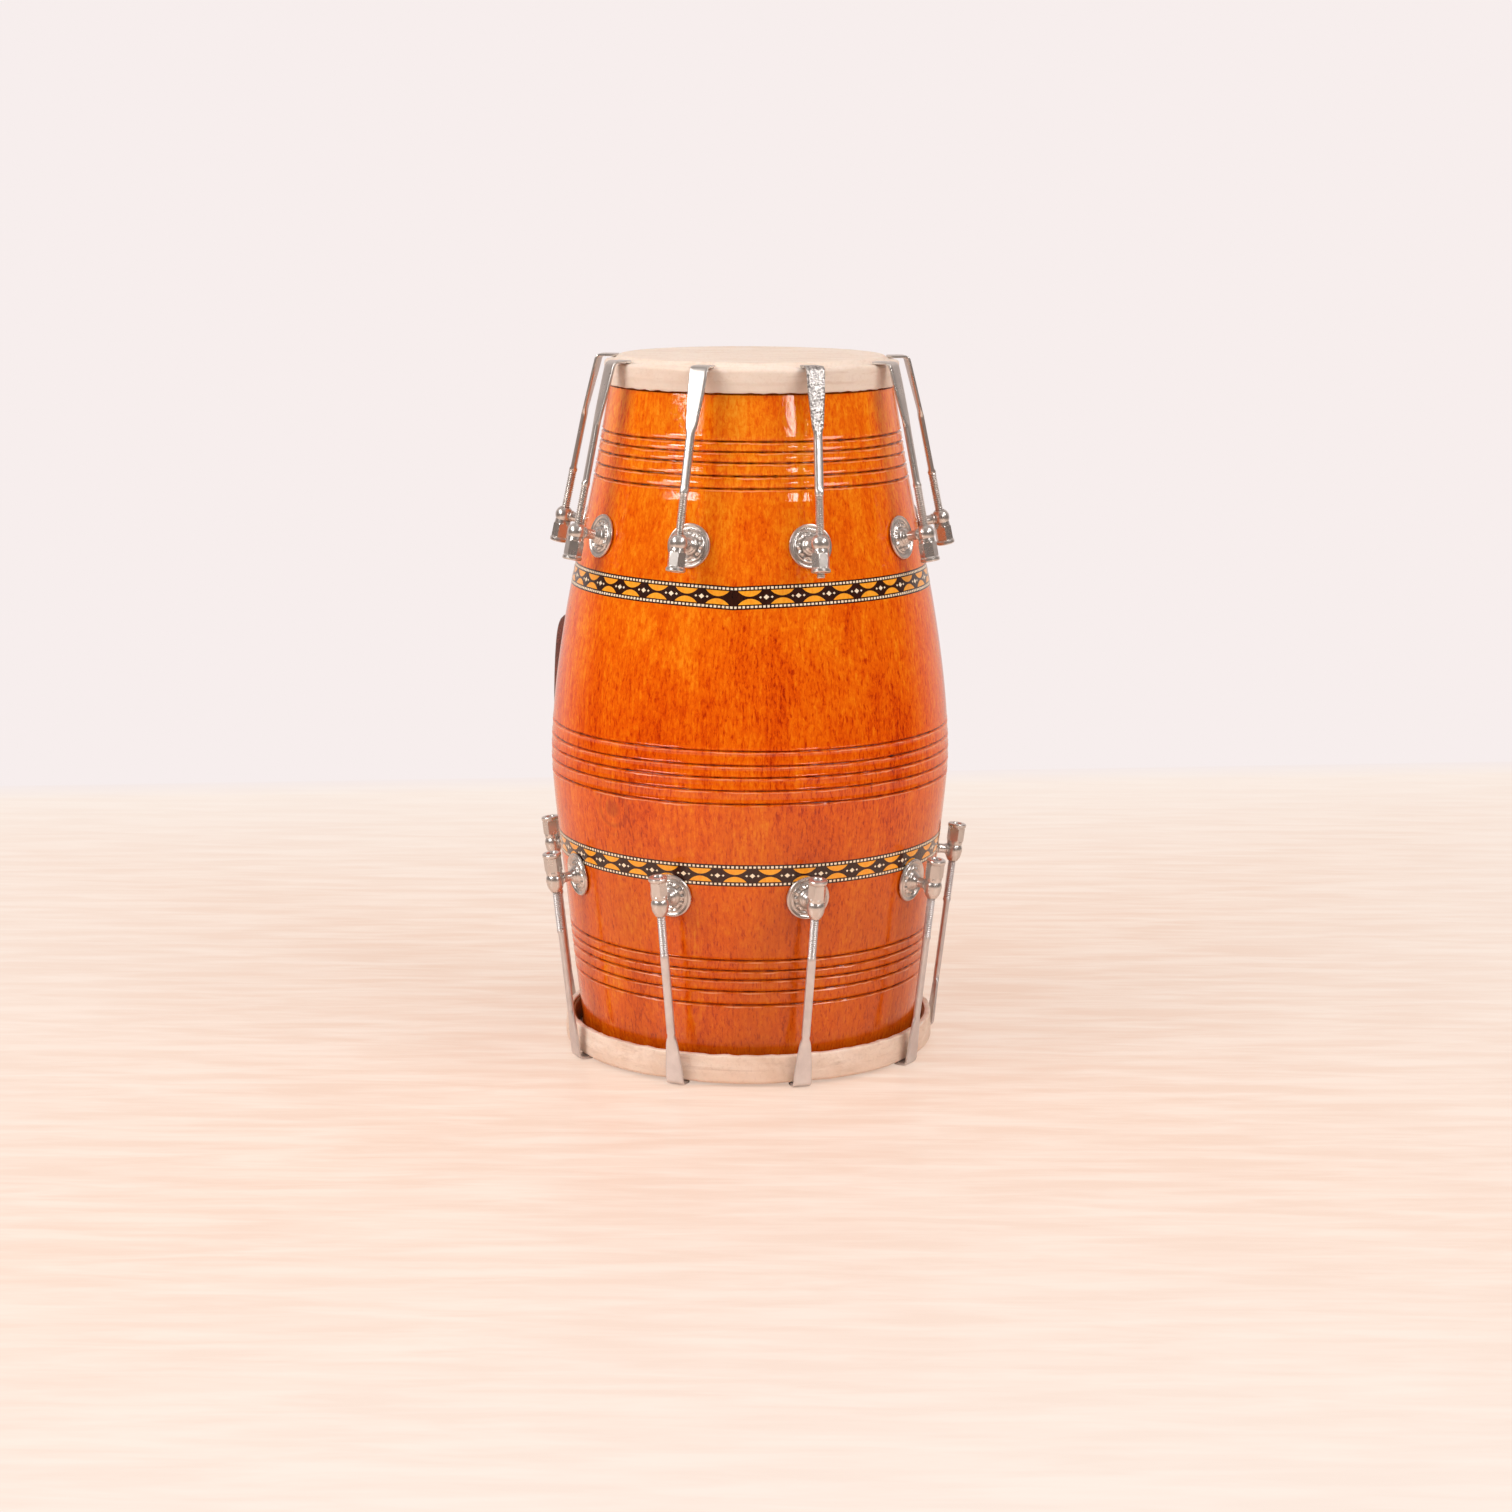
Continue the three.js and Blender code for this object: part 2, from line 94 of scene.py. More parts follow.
LAMPS = (  # name, place, height of the target on the drum's axis, width, height, power, green and blue
    ("left", (-1.66, -1.22, 1.30), 0.40, 0.95, 0.30, 17, (0.97, 0.94)),
    ("right", (1.19, -1.68, 1.30), 0.40, 0.42, 0.30, 7, (0.97, 0.95)),
    ("high_left", (-1.9, -0.5, 2.0), 0.2, 1.0, 1.0, 18, (0.97, 0.94)),
    ("high_right", (1.8, -0.8, 2.0), 0.2, 1.0, 1.0, 22, (0.97, 0.95)),
    ("over", (0.0, -0.1, 2.3), 0.2, 0.95, 0.95, 1.5, (0.98, 0.96)),
)

# Wood under its orange lacquer, from the darkest flecks to the palest fibres
WOOD_TONES = (
    (0.14, rgb(158, 34, 0)), (0.28, rgb(200, 60, 0)), (0.42, rgb(224, 85, 1)),
    (0.54, rgb(235, 104, 4)), (0.68, rgb(243, 130, 14)), (0.84, rgb(247, 156, 36)),
)
FLARE_START = 370 * MM  # above it the lacquer's surface faces a little more upward than the wood
FLARE_SLOPE = 0.073
KNOT_PLACE = (-85.3 * MM, -98.5 * MM, 174 * MM)
KNOT_REACH = 24 * MM
KNOT_RING = 4.2 * MM
METAL_SHARE = 0.84
BLADE_START = (-44 * MM, -37 * MM)  # heights from the claw between which a hammered blade's dents begin

# Shell
SHELL_STEPS = 288
LEVEL_STEP = 0.02 * MM
RING_SLACK = 0.05 * MM
FULL_RING = 36
SIDE_STEP = 2.2 * MM
WALL = 12 * MM
EDGE_SETBACK = 3 * MM
INNER_BEVEL = 1.4 * MM
SPIGOT_STEP = 5.5 * MM
FOOT_SETBACK = 3.7 * MM
INNER_ROWS = 40
GROOVE_HALF = 1.05 * MM
GROOVE_DEPTH = 1.25 * MM
GROOVE_LIP = 0.22 * MM
LIP_SHARE = 1.25
GROOVE_SHARES = (-1.7, -LIP_SHARE, -1.0, -0.7, -0.35, -0.12, 0.12, 0.35, 0.7, 1.0, LIP_SHARE, 1.7)
UPPER_GROOVES = 300 * MM  # grooves above it get a wider line of painted shade

# Inlay bands
BANDS = (  # name, middle height, sag at the joint, joint's azimuth in degrees
    ("upper_band", 312.9 * MM, 2.6 * MM, -5.1),
    ("lower_band", 138.4 * MM, 0.0, 61.0),
)
SAG_SPREAD = math.radians(20)
BAND_WIDTH = 14.2 * MM
BAND_LIFT = 0.12 * MM
INLAY_LIFT = 0.2 * MM
INLAY_SINK = 0.3 * MM
BAND_UNITS = 36
BAND_STEPS = 360
GROUND_SECTION = (
    (-1, -INLAY_SINK), (-1, BAND_LIFT), (-0.5, BAND_LIFT), (0, BAND_LIFT), (0.5, BAND_LIFT), (1, BAND_LIFT),
    (1, -INLAY_SINK),
)
LENS_SECTION = (*((share, INLAY_LIFT) for share in (0, 0.5, 1)), (1, -INLAY_SINK), (0, -INLAY_SINK))
LENS_STEPS = 12
LENS_LENGTH = 14.6 * MM
LENS_HEIGHT = 3.5 * MM
LENS_INSET = 2.95 * MM
DOT_INSET = 1.5 * MM
DOT_LENGTH = 1.6 * MM
DOT_HEIGHT = 1.35 * MM
DOTS_PER_UNIT = 8
SQUARE = ((-1, -1), (1, -1), (1, 1), (-1, 1))
DIAMOND = ((-1, 0), (0, -1), (1, 0), (0, 1))
LARGE_DIAMOND = (3.6 * MM, 3.0 * MM)
SMALL_DIAMOND = (1.7 * MM, 1.5 * MM)
DIAMOND_PITCH = 3.6 * MM

# Skins and hoops
SKIN_STEPS = 240
SKIN_THICKNESS = 1.2 * MM
SEAT_GAP = 0.3 * MM
CLAW_THICKNESS = 1.8 * MM
CLAW_REACH = 4.6 * MM
SKIN_FACE = -(CLAW_THICKNESS + SEAT_GAP)  # the skin's face under the claws, in a head's own frame
CROWN_SHARES = (0.004, 0.1, 0.2, 0.3, 0.4, 0.5, 0.6, 0.7, 0.8, 0.88, 0.95, 1.0)
SLOPE_SHARES = (0.12, 0.3, 0.5, 0.7, 0.88, 1.0)
RING_SHOULDER = 2.6 * MM
LAP_WIDTH = 3 * MM
FOLD_STEP = 0.28 * MM
HOOP_THICKNESS = 4.4 * MM
HOOP_BEVEL = 0.7 * MM
PASTE_RADIUS = 42 * MM
PASTE_THICKNESS = 2.4 * MM

# Hooked rods, nuts and lugs
STATIONS = 9
ROD_RADIUS = 2.75 * MM
ROD_CHAMFER = 0.5 * MM
THREAD_PITCH = 1.27 * MM
THREAD_DEPTH = 0.7 * MM
RINGS_PER_PITCH = 6
HOOK_POINTS = 32
STRIP = (5.4 * MM, 3.6 * MM)
BLADE_THICKNESS = 2.4 * MM
BLADE_WIDTHS = (7.6 * MM, 11 * MM, 12 * MM)
SHOULDER_LENGTH = 5 * MM
BEND_RADIUS = 3.4 * MM
BALL_RADIUS = 5.8 * MM
HOLE_RADIUS = 3.2 * MM
BALL_HALF = math.sqrt(BALL_RADIUS**2 - HOLE_RADIUS**2)
NUT_POINTS = 96
NUT_FACE = BALL_HALF + SEAT_GAP  # from the ball's middle, along the rod
NUT_FLATS = 10 * MM
NUT_END = NUT_FACE + 13 * MM
NUT_COLLAR = NUT_END - 3 * MM
NUT_SKIRT = 3.6 * MM
BORE = 2.85
ROD_RECESS = 1.5 * MM
ROD_STUB = 3 * MM

# Profiles as (radius, height) pairs in millimetres
NUT_PROFILE = (  # where the heights start in metres, then pairs the other way round
    (NUT_SKIRT, ((-0.1, 4.75), (0, 5.05), (0.9, 5.15), (1.9, 5.2), (2.2, 5.25), (2.7, 5.65), (3.2, 6.5))),
    (NUT_COLLAR, ((-0.7, 6.5), (-0.3, 5.7), (0, 5.45), (0.35, 5.8), (0.8, 6.1))),
    (NUT_END, ((-0.9, 6.15), (-0.4, 5.9), (-0.1, 5.4), (0, 4.9), (0, 3.5), (-0.35, 3.1), (-0.8, BORE))),
    (NUT_FACE, ((0.6, BORE), (0, BORE + 0.4), (-0.6, 4.2))),
)
PLATE_PROFILE = (
    (3, -17), (3, 0.3), (13.2, 0.3), (13.9, 0.45), (14, 0.9), (13.95, 1.5), (13.6, 2), (13, 2.2),
    (12.4, 2.05), (11.9, 1.6), (11.5, 1.2), (11.1, 1.15), (10.7, 1.3), (10.4, 1.75), (10, 2), (9.6, 1.85),
    (9.3, 1.45), (8.9, 1.3), (8.4, 1.65), (7.9, 2.15), (7.3, 2.35), (6.8, 2.05), (6.5, 1.8), (6.2, 2.1),
    (5.9, 2.9), (5.4, 3.5), (5.1, 3.7), (4.9, 4.3), (4.5, 4.9), (4, 5.3), (3.7, 5.9), (3.4, 6.6), (2.6, 6.8),
    (2.4, -17),
)
PETALS = 12
PETAL_RADIUS = 8.3
PETAL_SPREAD = 1.3
STEM_FOOT = 5.6
STEM_END = ((3.15, -2.4), (3.3, -1.7), (3.65, -1.4), (3.75, -1.0), (3.6, -0.6), (3.4, 0))
INNER_NUT = ((6.0, 0), (6.5, -0.5), (6.5, -3.5), (6.0, -4))
WASHER = ((3.2, 1), (7.5, 1), (7.5, 0.1), (3.2, 0.1))
CONE = ((5.55, 1.7), (5.35, 3.4), (4.9, 4.9), (4.2, 6.2), (3.7, 7.2), (3.4, 7.6), (3.15, 7.3), (3.15, 2.0))
SCREW_DOME = ((0.15, 1.25), (1.4, 1.15), (2.5, 0.8), (3.2, 0.25), (3.3, -0.2), (0.15, -0.2))

# Handle
HANDLE_AZIMUTH = math.radians(-122.6)
HANDLE_MIDDLE = 212.5 * MM
HANDLE_LENGTH = 126 * MM
HANDLE_REACH = 155.2 * MM
HANDLE_BOW = 3.5 * MM
HANDLE_THICKNESS = 6.5 * MM
HANDLE_WIDTH = 18 * MM
HANDLE_FOOT = 13 * MM
HANDLE_FOOT_THICKNESS = 4 * MM
FOOT_BEND = 3 * MM
HANDLE_ROWS = 72
HANDLE_POINTS = 40
STITCH_PITCH = 3.4 * MM
STITCH_LENGTH = 2.3 * MM
STITCH_RADIUS = 0.34 * MM
STITCH_START = 30 * MM
SCREW_ROWS = (2, 69)
SCREW_ASIDE = 4.6 * MM
SCREW_LIFT = 1.75 * MM


# Mesh helpers


def circle(count):
    """The angles of so many even steps round a circle."""
    return np.arange(count) * TAU / count


def upright(turn, radius, height):
    """Ring of points round Z; the radius and the height are single numbers or one for each angle."""
    return np.stack(np.broadcast_arrays(radius * np.cos(turn), radius * np.sin(turn), height), axis=-1)


def crosswise(middle, normal, wide, thick):
    """Ring of points across a bar that runs in the plane of X and Z, where its middle and normal lie."""
    points = middle[0] + normal[0] * thick, wide, middle[1] + normal[1] * thick
    return np.stack(np.broadcast_arrays(*points), axis=-1)


def rounded(count, width, thickness, wide_power, thick_power):
    """Wide and thick parts of a rounded rectangle: a circle at power 1, nearly square at 0.3."""
    wave, swell = np.cos(circle(count)), np.sin(circle(count))
    wide = np.sign(wave) * abs(wave) ** wide_power * width / 2
    return wide, np.sign(swell) * abs(swell) ** thick_power * thickness / 2


def smoothstep(value):
    value = np.clip(value, 0, 1)
    return value * value * (3 - 2 * value)


def ripple(turn, low, high, count, seed):
    """A smooth random wave round the drum, about -1 to 1."""
    source = np.random.default_rng(seed)
    wave = np.zeros_like(turn)
    for _ in range(count):
        wave += np.sin(source.integers(low, high) * turn + source.uniform(0, TAU))
    return wave / math.sqrt(count)


def add_object(name, data):
    added = bpy.data.objects.new(name, data)
    bpy.context.scene.collection.objects.link(added)
    return added


def place(name, mesh, material, body, replaced=(), matrix=HERE):
    """Puts a mesh into the scene as a named piece that rides on a body."""
    mesh.materials.append(material)
    piece = add_object(name, mesh)
    piece.matrix_world = matrix
    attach(piece, body)
    if replaced:
        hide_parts(*replaced)


class Build:
    """Collects closed bodies into one mesh."""

    def __init__(self):
        self.points = []
        self.faces = []

    def rings(self, rings, matrix=HERE, closed=False):
        """Rings of as many points each, capped at both ends or joined from the last to the first."""
        rows, columns, _ = np.shape(rings)
        matrix = np.array(matrix)
        start = len(self.points)
        self.points.extend(np.reshape(rings, (-1, 3)) @ matrix[:3, :3].T + matrix[:3, 3])
        for row in range(rows if closed else rows - 1):
            low, high = start + row * columns, start + (row + 1) % rows * columns
            for column in range(columns):
                beside = (column + 1) % columns
                self.faces.append((low + column, low + beside, high + beside, high + column))
        if not closed:
            end = len(self.points)
            self.faces += [tuple(range(start, start + columns)), tuple(range(end - columns, end))]
        return self

    def turned(self, outline, steps, matrix, closed=True):
        """An outline of (radius, height) pairs turned about Z."""
        return self.rings([upright(circle(steps), *pair) for pair in outline], matrix, closed)

    def mesh(self, name, crease=40):
        """Ends the build as a mesh whose edges are sharp from crease degrees on."""
        mesh = bpy.data.meshes.new(name)
        mesh.from_pydata([tuple(map(float, point)) for point in self.points], [], self.faces)
        outward = bmesh.new()
        outward.from_mesh(mesh)
        bmesh.ops.recalc_face_normals(outward, faces=outward.faces)
        outward.to_mesh(mesh)
        outward.free()
        mesh.shade_smooth()
        mesh.set_sharp_from_angle(angle=math.radians(crease))
        return mesh

    def piece(self, name, material, body, slot, replaced=(), crease=40):
        """Ends the build as a piece of the scene."""
        mesh = self.mesh(name, crease)
        place(name, mesh, material, body, replaced)
        return mesh


# The shell's side, read from its CAD node


def corners_of(node):
    return np.array([vertex.co[:] for vertex in node.data.vertices])


def shell_rings():
    """(height, radius) of each full ring of corners on the outside of the CAD shell."""
    corners = corners_of(frame["nodes"]["shell"])
    radius = np.hypot(corners[:, 0], corners[:, 1])
    levels = np.round(corners[:, 2] / LEVEL_STEP).astype(int)
    rings = []
    for level in np.unique(levels):
        largest = radius[levels == level].max()
        near = (levels == level) & (radius > largest - RING_SLACK)
        azimuths = np.degrees(np.arctan2(corners[near, 1], corners[near, 0]))
        if len(np.unique(np.round(azimuths))) >= FULL_RING:
            rings.append((corners[near, 2].mean(), largest))
    return np.array(rings)


def split_side(rings):
    """Parts the outer side's rings into its smooth line and the heights of its grooves."""
    top = rings[-1, 0] - 5 * MM
    least = rings[:, 1].max() * 0.69
    side = [ring for ring in rings if ring[1] > least and ring[0] < top]

    def on_inner_wall(index):
        return side[index][1] < (side[index - 1][1] + side[index + 1][1]) / 2 - WALL / 3

    while inner := [index for index in range(1, len(side) - 1) if on_inner_wall(index)]:
        del side[inner[0]]
    side = np.array(side)
    grooves = []
    smooth = []
    for index, (height, radius) in enumerate(side):
        beside = side[[max(index - 1, 0), min(index + 1, len(side) - 1)]]
        if radius < np.interp(height, beside[:, 0], beside[:, 1]) - 0.8 * MM:
            grooves.append(height)
        else:
            smooth.append((height, radius))
    return np.array(smooth), grooves


side_line, groove_heights = split_side(shell_rings())
side_slopes = np.gradient(side_line[:, 1], side_line[:, 0])


def shell_radius(height):
    """Outer radius of the shell at a height, smooth through the CAD corners."""
    heights, radii = side_line.T
    height = np.clip(height, heights[0], heights[-1])
    index = np.clip(np.searchsorted(heights, height) - 1, 0, len(heights) - 2)
    span = heights[index + 1] - heights[index]
    share = (height - heights[index]) / span
    low = (1 + 2 * share) * (1 - share) ** 2 * radii[index]
    low = low + share * (1 - share) ** 2 * span * side_slopes[index]
    high = share**2 * (3 - 2 * share) * radii[index + 1]
    return low + high + share**2 * (share - 1) * span * side_slopes[index + 1]


# Materials


class Tree:
    """A node tree, with short calls to add to it."""

    def __init__(self, owner):
        owner.use_nodes = True
        self.nodes = owner.node_tree.nodes
        self.links = owner.node_tree.links

    def node(self, kind, values=None, **settings):
        node = self.nodes.new("ShaderNode" + kind)
        for name, value in settings.items():
            setattr(node, name, value)
        for name, value in (values or {}).items():
            self.put(node.inputs[name], value)
        return node

    def put(self, socket, value):
        if isinstance(value, bpy.types.NodeSocket):
            self.links.new(value, socket)
        else:
            socket.default_value = value

    def split(self, vector):
        return self.node("SeparateXYZ", {"Vector": vector}).outputs

    def band(self, factor, low, high, end=1.0, start=0.0, ease="LINEAR"):
        """From start under low to end over high."""
        values = {"Value": factor, "From Min": low, "From Max": high, "To Min": start, "To Max": end}
        return self.node("MapRange", values, interpolation_type=ease).outputs["Result"]

    def mix(self, factor, first, second):
        return self.node("Mix", {0: factor, 6: first, 7: second}, data_type="RGBA").outputs[2]

    def layered(self, colour, *layers):
        """A colour with others laid over it, as pairs of a share and a colour."""
        for share, over in layers:
            colour = self.mix(share, colour, over)
        return colour

    def blend(self, factor, first, second):
        return self.node("MixShader", {0: factor, 1: first, 2: second}).outputs[0]

    def math(self, operation, first, second=0.0):
        return self.node("Math", {0: first, 1: second}, operation=operation).outputs[0]

    plus = partialmethod(math, "ADD")
    less = partialmethod(math, "SUBTRACT")
    times = partialmethod(math, "MULTIPLY")
    larger = partialmethod(math, "MAXIMUM")


class Shader(Tree):
    """A material's node tree."""

    def __init__(self, name):
        self.material = bpy.data.materials.new(name)
        super().__init__(self.material)
        self.surface = self.nodes["Principled BSDF"]

    def set(self, **values):
        """Sets the surface's sockets, named with _ for a space."""
        for name, value in values.items():
            self.put(self.surface.inputs[name.replace("_", " ")], value)
        return self.material

    def place(self, scale=(1, 1, 1), shift=(0, 0, 0), source=None):
        """A place in the object's own frame, or in the source's, stretched and shifted."""
        source = source or self.node("TexCoord").outputs["Object"]
        return self.node("Mapping", {"Vector": source, "Scale": scale, "Location": shift}).outputs[0]

    def height(self):
        return self.split(self.place())["Z"]

    def noise(self, vector, scale, detail=4, roughness=0.55, distortion=0):
        values = {"Vector": vector, "Scale": scale, "Detail": detail, "Roughness": roughness}
        return self.node("TexNoise", values | {"Distortion": distortion}).outputs["Fac"]

    def painted(self, name):
        """What a mesh says for each of its points."""
        return self.node("Attribute", attribute_name=name).outputs["Fac"]

    def ramp(self, factor, stops):
        node = self.node("ValToRGB", {"Fac": factor})
        elements = node.color_ramp.elements
        while len(elements) < len(stops):
            elements.new(0.5)
        for element, (position, colour) in zip(elements, stops):
            element.position = position
            element.color = colour
        return node.outputs["Color"]

    def bump(self, height, distance, strength=1.0, after=None):
        values = {"Height": height, "Distance": distance, "Strength": strength}
        if after is not None:
            values["Normal"] = after
        return self.node("Bump", values).outputs["Normal"]


def lacquered_wood():
    """Wood under a clear lacquer, with one knot, painted shade in the grooves and a painted highlight on
    their lower lips.
    """
    shade = Shader("lacquered_wood")
    warp = shade.node("TexNoise", {"Vector": shade.place((1, 1, 0.35)), "Scale": 9.0, "Detail": 2.0})
    bend = {0: warp.outputs["Color"], 1: (0.016, 0.016, 0.0), 2: shade.place()}
    bent = shade.node("VectorMath", bend, operation="MULTIPLY_ADD").outputs[0]

    def along(scale, stretch, shift, detail, roughness, distortion):
        return shade.noise(shade.place((1, 1, stretch), shift, bent), scale, detail, roughness, distortion)

    patches = along(9, 0.35, (0, 0, 0), 3, 0.5, 0.0)
    figure = along(42, 0.16, (3, 1, 2), 5, 0.62, 0.9)
    streaks = along(150, 0.045, (7, 2, 5), 4, 0.6, 0.3)
    fibres = along(520, 0.13, (1, 4, 9), 3, 0.6, 0.3)
    pores = along(760, 0.24, (5, 5, 1), 2, 0.5, 0.4)
    mottle = along(420, 0.6, (2, 8, 4), 3, 0.7, 0.8)
    height = shade.height()
    low = shade.band(height, 0.10, 0.22, 0.0, 1.0)

    tone = shade.plus(shade.times(figure, 0.6), 0.2)
    for wave, weight in ((fibres, 0.5), (mottle, 0.6), (streaks, 0.15)):
        tone = shade.plus(tone, shade.times(shade.less(wave, 0.5), weight))
    cluster = shade.plus(shade.band(patches, 0.4, 0.6, 0.17, 0.1), shade.times(low, 0.06))
    for wave, start, stop, weight in (
        (pores, 0.55, 0.64, cluster),
        (streaks, 0.56, 0.72, 0.07),
        (patches, 0.42, 0.66, 0.05),
        (height, 0.24, 0.40, -0.14),
    ):
        tone = shade.less(tone, shade.band(wave, start, stop, weight))

    knot = shade.node("VectorMath", {0: bent, 1: KNOT_PLACE}, operation="DISTANCE").outputs["Value"]
    rings = shade.math("SINE", shade.times(knot, TAU / KNOT_RING))
    rings = shade.times(shade.band(knot, 0.006, KNOT_REACH, 0.0, 1.0), shade.band(rings, -0.4, 1.0))
    colour = shade.layered(
        shade.ramp(tone, WOOD_TONES),
        (shade.times(low, shade.band(patches, 0.4, 0.6, 0.52, 0.22)), rgb(176, 84, 18)),
        (rings, rgb(160, 54, 10)),
        (shade.band(knot, 0.003, 0.011, 0.0, 0.6), rgb(150, 52, 14)),
        # painted highlight along the grooves' lower lips
        (shade.painted("worn"), rgb(255, 190, 140)),
        # painted shade along the grooves
        (shade.painted("stain"), rgb(46, 8, 0)),
    )
    flare = shade.math("MINIMUM", shade.less(FLARE_START, height), 0.0)
    wavy = shade.noise(shade.place((1, 1, 0.6)), 26, 2, 0.4)
    peel = shade.noise(shade.place((1, 1, 0.5)), 520, 3, 0.55)
    lacquer = shade.bump(wavy, 0.0008, 0.15, shade.bump(flare, FLARE_SLOPE))
    lacquer = shade.bump(shade.plus(peel, pores), 0.00014, 0.38, lacquer)
    grain = shade.bump(fibres, 0.00016, 0.5)
    shade.set(Base_Color=colour, Roughness=0.42, Specular_IOR_Level=0.0, Normal=grain)
    return shade.set(Coat_Weight=1.0, Coat_Roughness=0.035, Coat_IOR=1.45, Coat_Normal=lacquer)


def steel(name, colour, roughness, dents=0.0, brushed=0.0):
    """Plated steel: smooth, dented by a hammer, or satin with fine scratches along the piece."""
    shade = Shader(name)
    waves = shade.noise(shade.place(), 160, 2, 0.5)
    tone = shade.mix(shade.band(waves, 0.35, 0.7), colour, dimmed(colour, 0.9))
    normal = shade.bump(waves, 0.0004, 0.03)
    if dents:
        pits = shade.noise(shade.place(), 620, 1, 0.5)
        blade = shade.band(shade.height(), *BLADE_START)
        # painted shade: the blade darker in the hammer's dents
        dark = shade.times(shade.band(pits, 0.4, 0.6, 0.0, 1.0), blade)
        tone = shade.mix(dark, tone, dimmed(colour, 0.42))
        normal = shade.bump(shade.times(pits, blade), 0.0007, dents, normal)
    if brushed:
        scratches = shade.noise(shade.place((1, 1, 0.25)), 1500, 3, 0.6)
        normal = shade.bump(scratches, 0.00008, brushed, normal)
    rough = shade.band(waves, 0.0, 1.0, roughness * 1.1, roughness * 0.9)
    return shade.set(Base_Color=tone, Metallic=METAL_SHARE, Roughness=rough, Normal=normal)


def rawhide(name, pale, dark, dirt, fold):
    """Dried hide: cloudy, with faint fibres and thin darker streaks, and darker below its fold."""
    shade = Shader(name)
    cloud = shade.noise(shade.place((1, 1, 1.6)), 26, 4, 0.6, 0.6)
    fibre = shade.noise(shade.place((1, 0.16, 1)), 420, 4, 0.65, 0.8)
    streak = shade.noise(shade.place((0.2, 1, 5)), 70, 3, 0.6, 0.5)
    speck = shade.noise(shade.place(), 1300, 2, 0.6)
    colour = shade.layered(
        pale,
        (shade.band(cloud, 0.34, 0.68), dark),
        (shade.band(streak, 0.55, 0.75, 0.35), dirt),
        (shade.band(fibre, 0.5, 0.72, 0.22), dirt),
        (shade.band(speck, 0.6, 0.75, 0.12), dirt),
        (shade.band(shade.height(), fold - 0.7 * MM, fold + 0.5 * MM, 0.0, 0.4), dark),
    )
    normal = shade.bump(fibre, 0.00016, 0.3, shade.bump(cloud, 0.0012, 0.2))
    shade.set(Subsurface_Weight=0.12, Subsurface_Scale=0.002, Subsurface_Radius=(1.0, 0.5, 0.3))
    return shade.set(Base_Color=colour, Roughness=0.52, Normal=normal)


def plain(shade, wave, colour, roughness, *bump):
    """Ends a material that has one colour, one roughness and one wave's bumps."""
    return shade.set(Base_Color=colour, Roughness=roughness, Normal=shade.bump(wave, *bump))


def inlay(name, colour, deeper):
    """A flat inlay under the same lacquer as the wood."""
    shade = Shader(name)
    grain = shade.noise(shade.place((1, 1, 0.3)), 700, 3)
    cloudy = shade.band(shade.noise(shade.place(), 60, 2), 0.45, 0.7, 0.3)
    colour = shade.layered(colour, (shade.band(grain, 0.4, 0.7), deeper), (cloudy, deeper))
    shade.set(Specular_IOR_Level=0.08, Coat_Weight=1.0, Coat_Roughness=0.04)
    return plain(shade, grain, colour, 0.45, 0.00003, 0.3)


def bare_wood():
    shade = Shader("bare_hoop")
    grain = shade.noise(shade.place((1, 1, 12)), 60, 5, 0.6, 0.4)
    fine = shade.noise(shade.place((1, 1, 6)), 700, 3, 0.6)
    colour = shade.ramp(grain, ((0.3, rgb(120, 80, 44)), (0.7, rgb(196, 150, 98))))
    colour = shade.mix(shade.band(fine, 0.5, 0.75, 0.4), colour, rgb(92, 58, 30))
    return plain(shade, fine, colour, 0.75, 0.0002, 0.4)


def leather():
    shade = Shader("brown_leather")
    cells = shade.node("TexVoronoi", {"Vector": shade.place(), "Scale": 900.0}, feature="DISTANCE_TO_EDGE")
    creases = shade.band(cells.outputs["Distance"], 0.0, 0.12)
    cloud = shade.noise(shade.place(), 60, 4, 0.6)
    colour = shade.mix(shade.band(cloud, 0.35, 0.7), rgb(140, 84, 72), rgb(104, 60, 52))
    # painted shade: near black along the creases of the grain
    colour = shade.mix(shade.less(1.0, creases), colour, rgb(50, 24, 20))
    normal = shade.bump(creases, 0.00018, 0.6, shade.bump(cloud, 0.0006, 0.3))
    shade.set(Base_Color=colour, Roughness=shade.band(cloud, 0.0, 1.0, 0.6, 0.34), Normal=normal)
    return shade.set(Coat_Weight=0.25, Coat_Roughness=0.3)


def thread_cotton():
    shade = Shader("stitch_thread")
    twist = shade.node("TexWave", {"Vector": shade.place(), "Scale": 900.0, "Distortion": 1.0})
    twist = twist.outputs["Fac"]
    return plain(shade, twist, shade.mix(twist, rgb(150, 104, 62), rgb(104, 66, 38)), 0.8, 0.0001, 0.5)


def paste():
    shade = Shader("tuning_paste")
    grain = shade.noise(shade.place(), 300, 5, 0.7)
    colour = shade.mix(shade.band(grain, 0.35, 0.7), rgb(52, 44, 38), rgb(28, 24, 22))
    return plain(shade, grain, colour, 0.9, 0.0006, 0.5)


# Shell and inlay bands


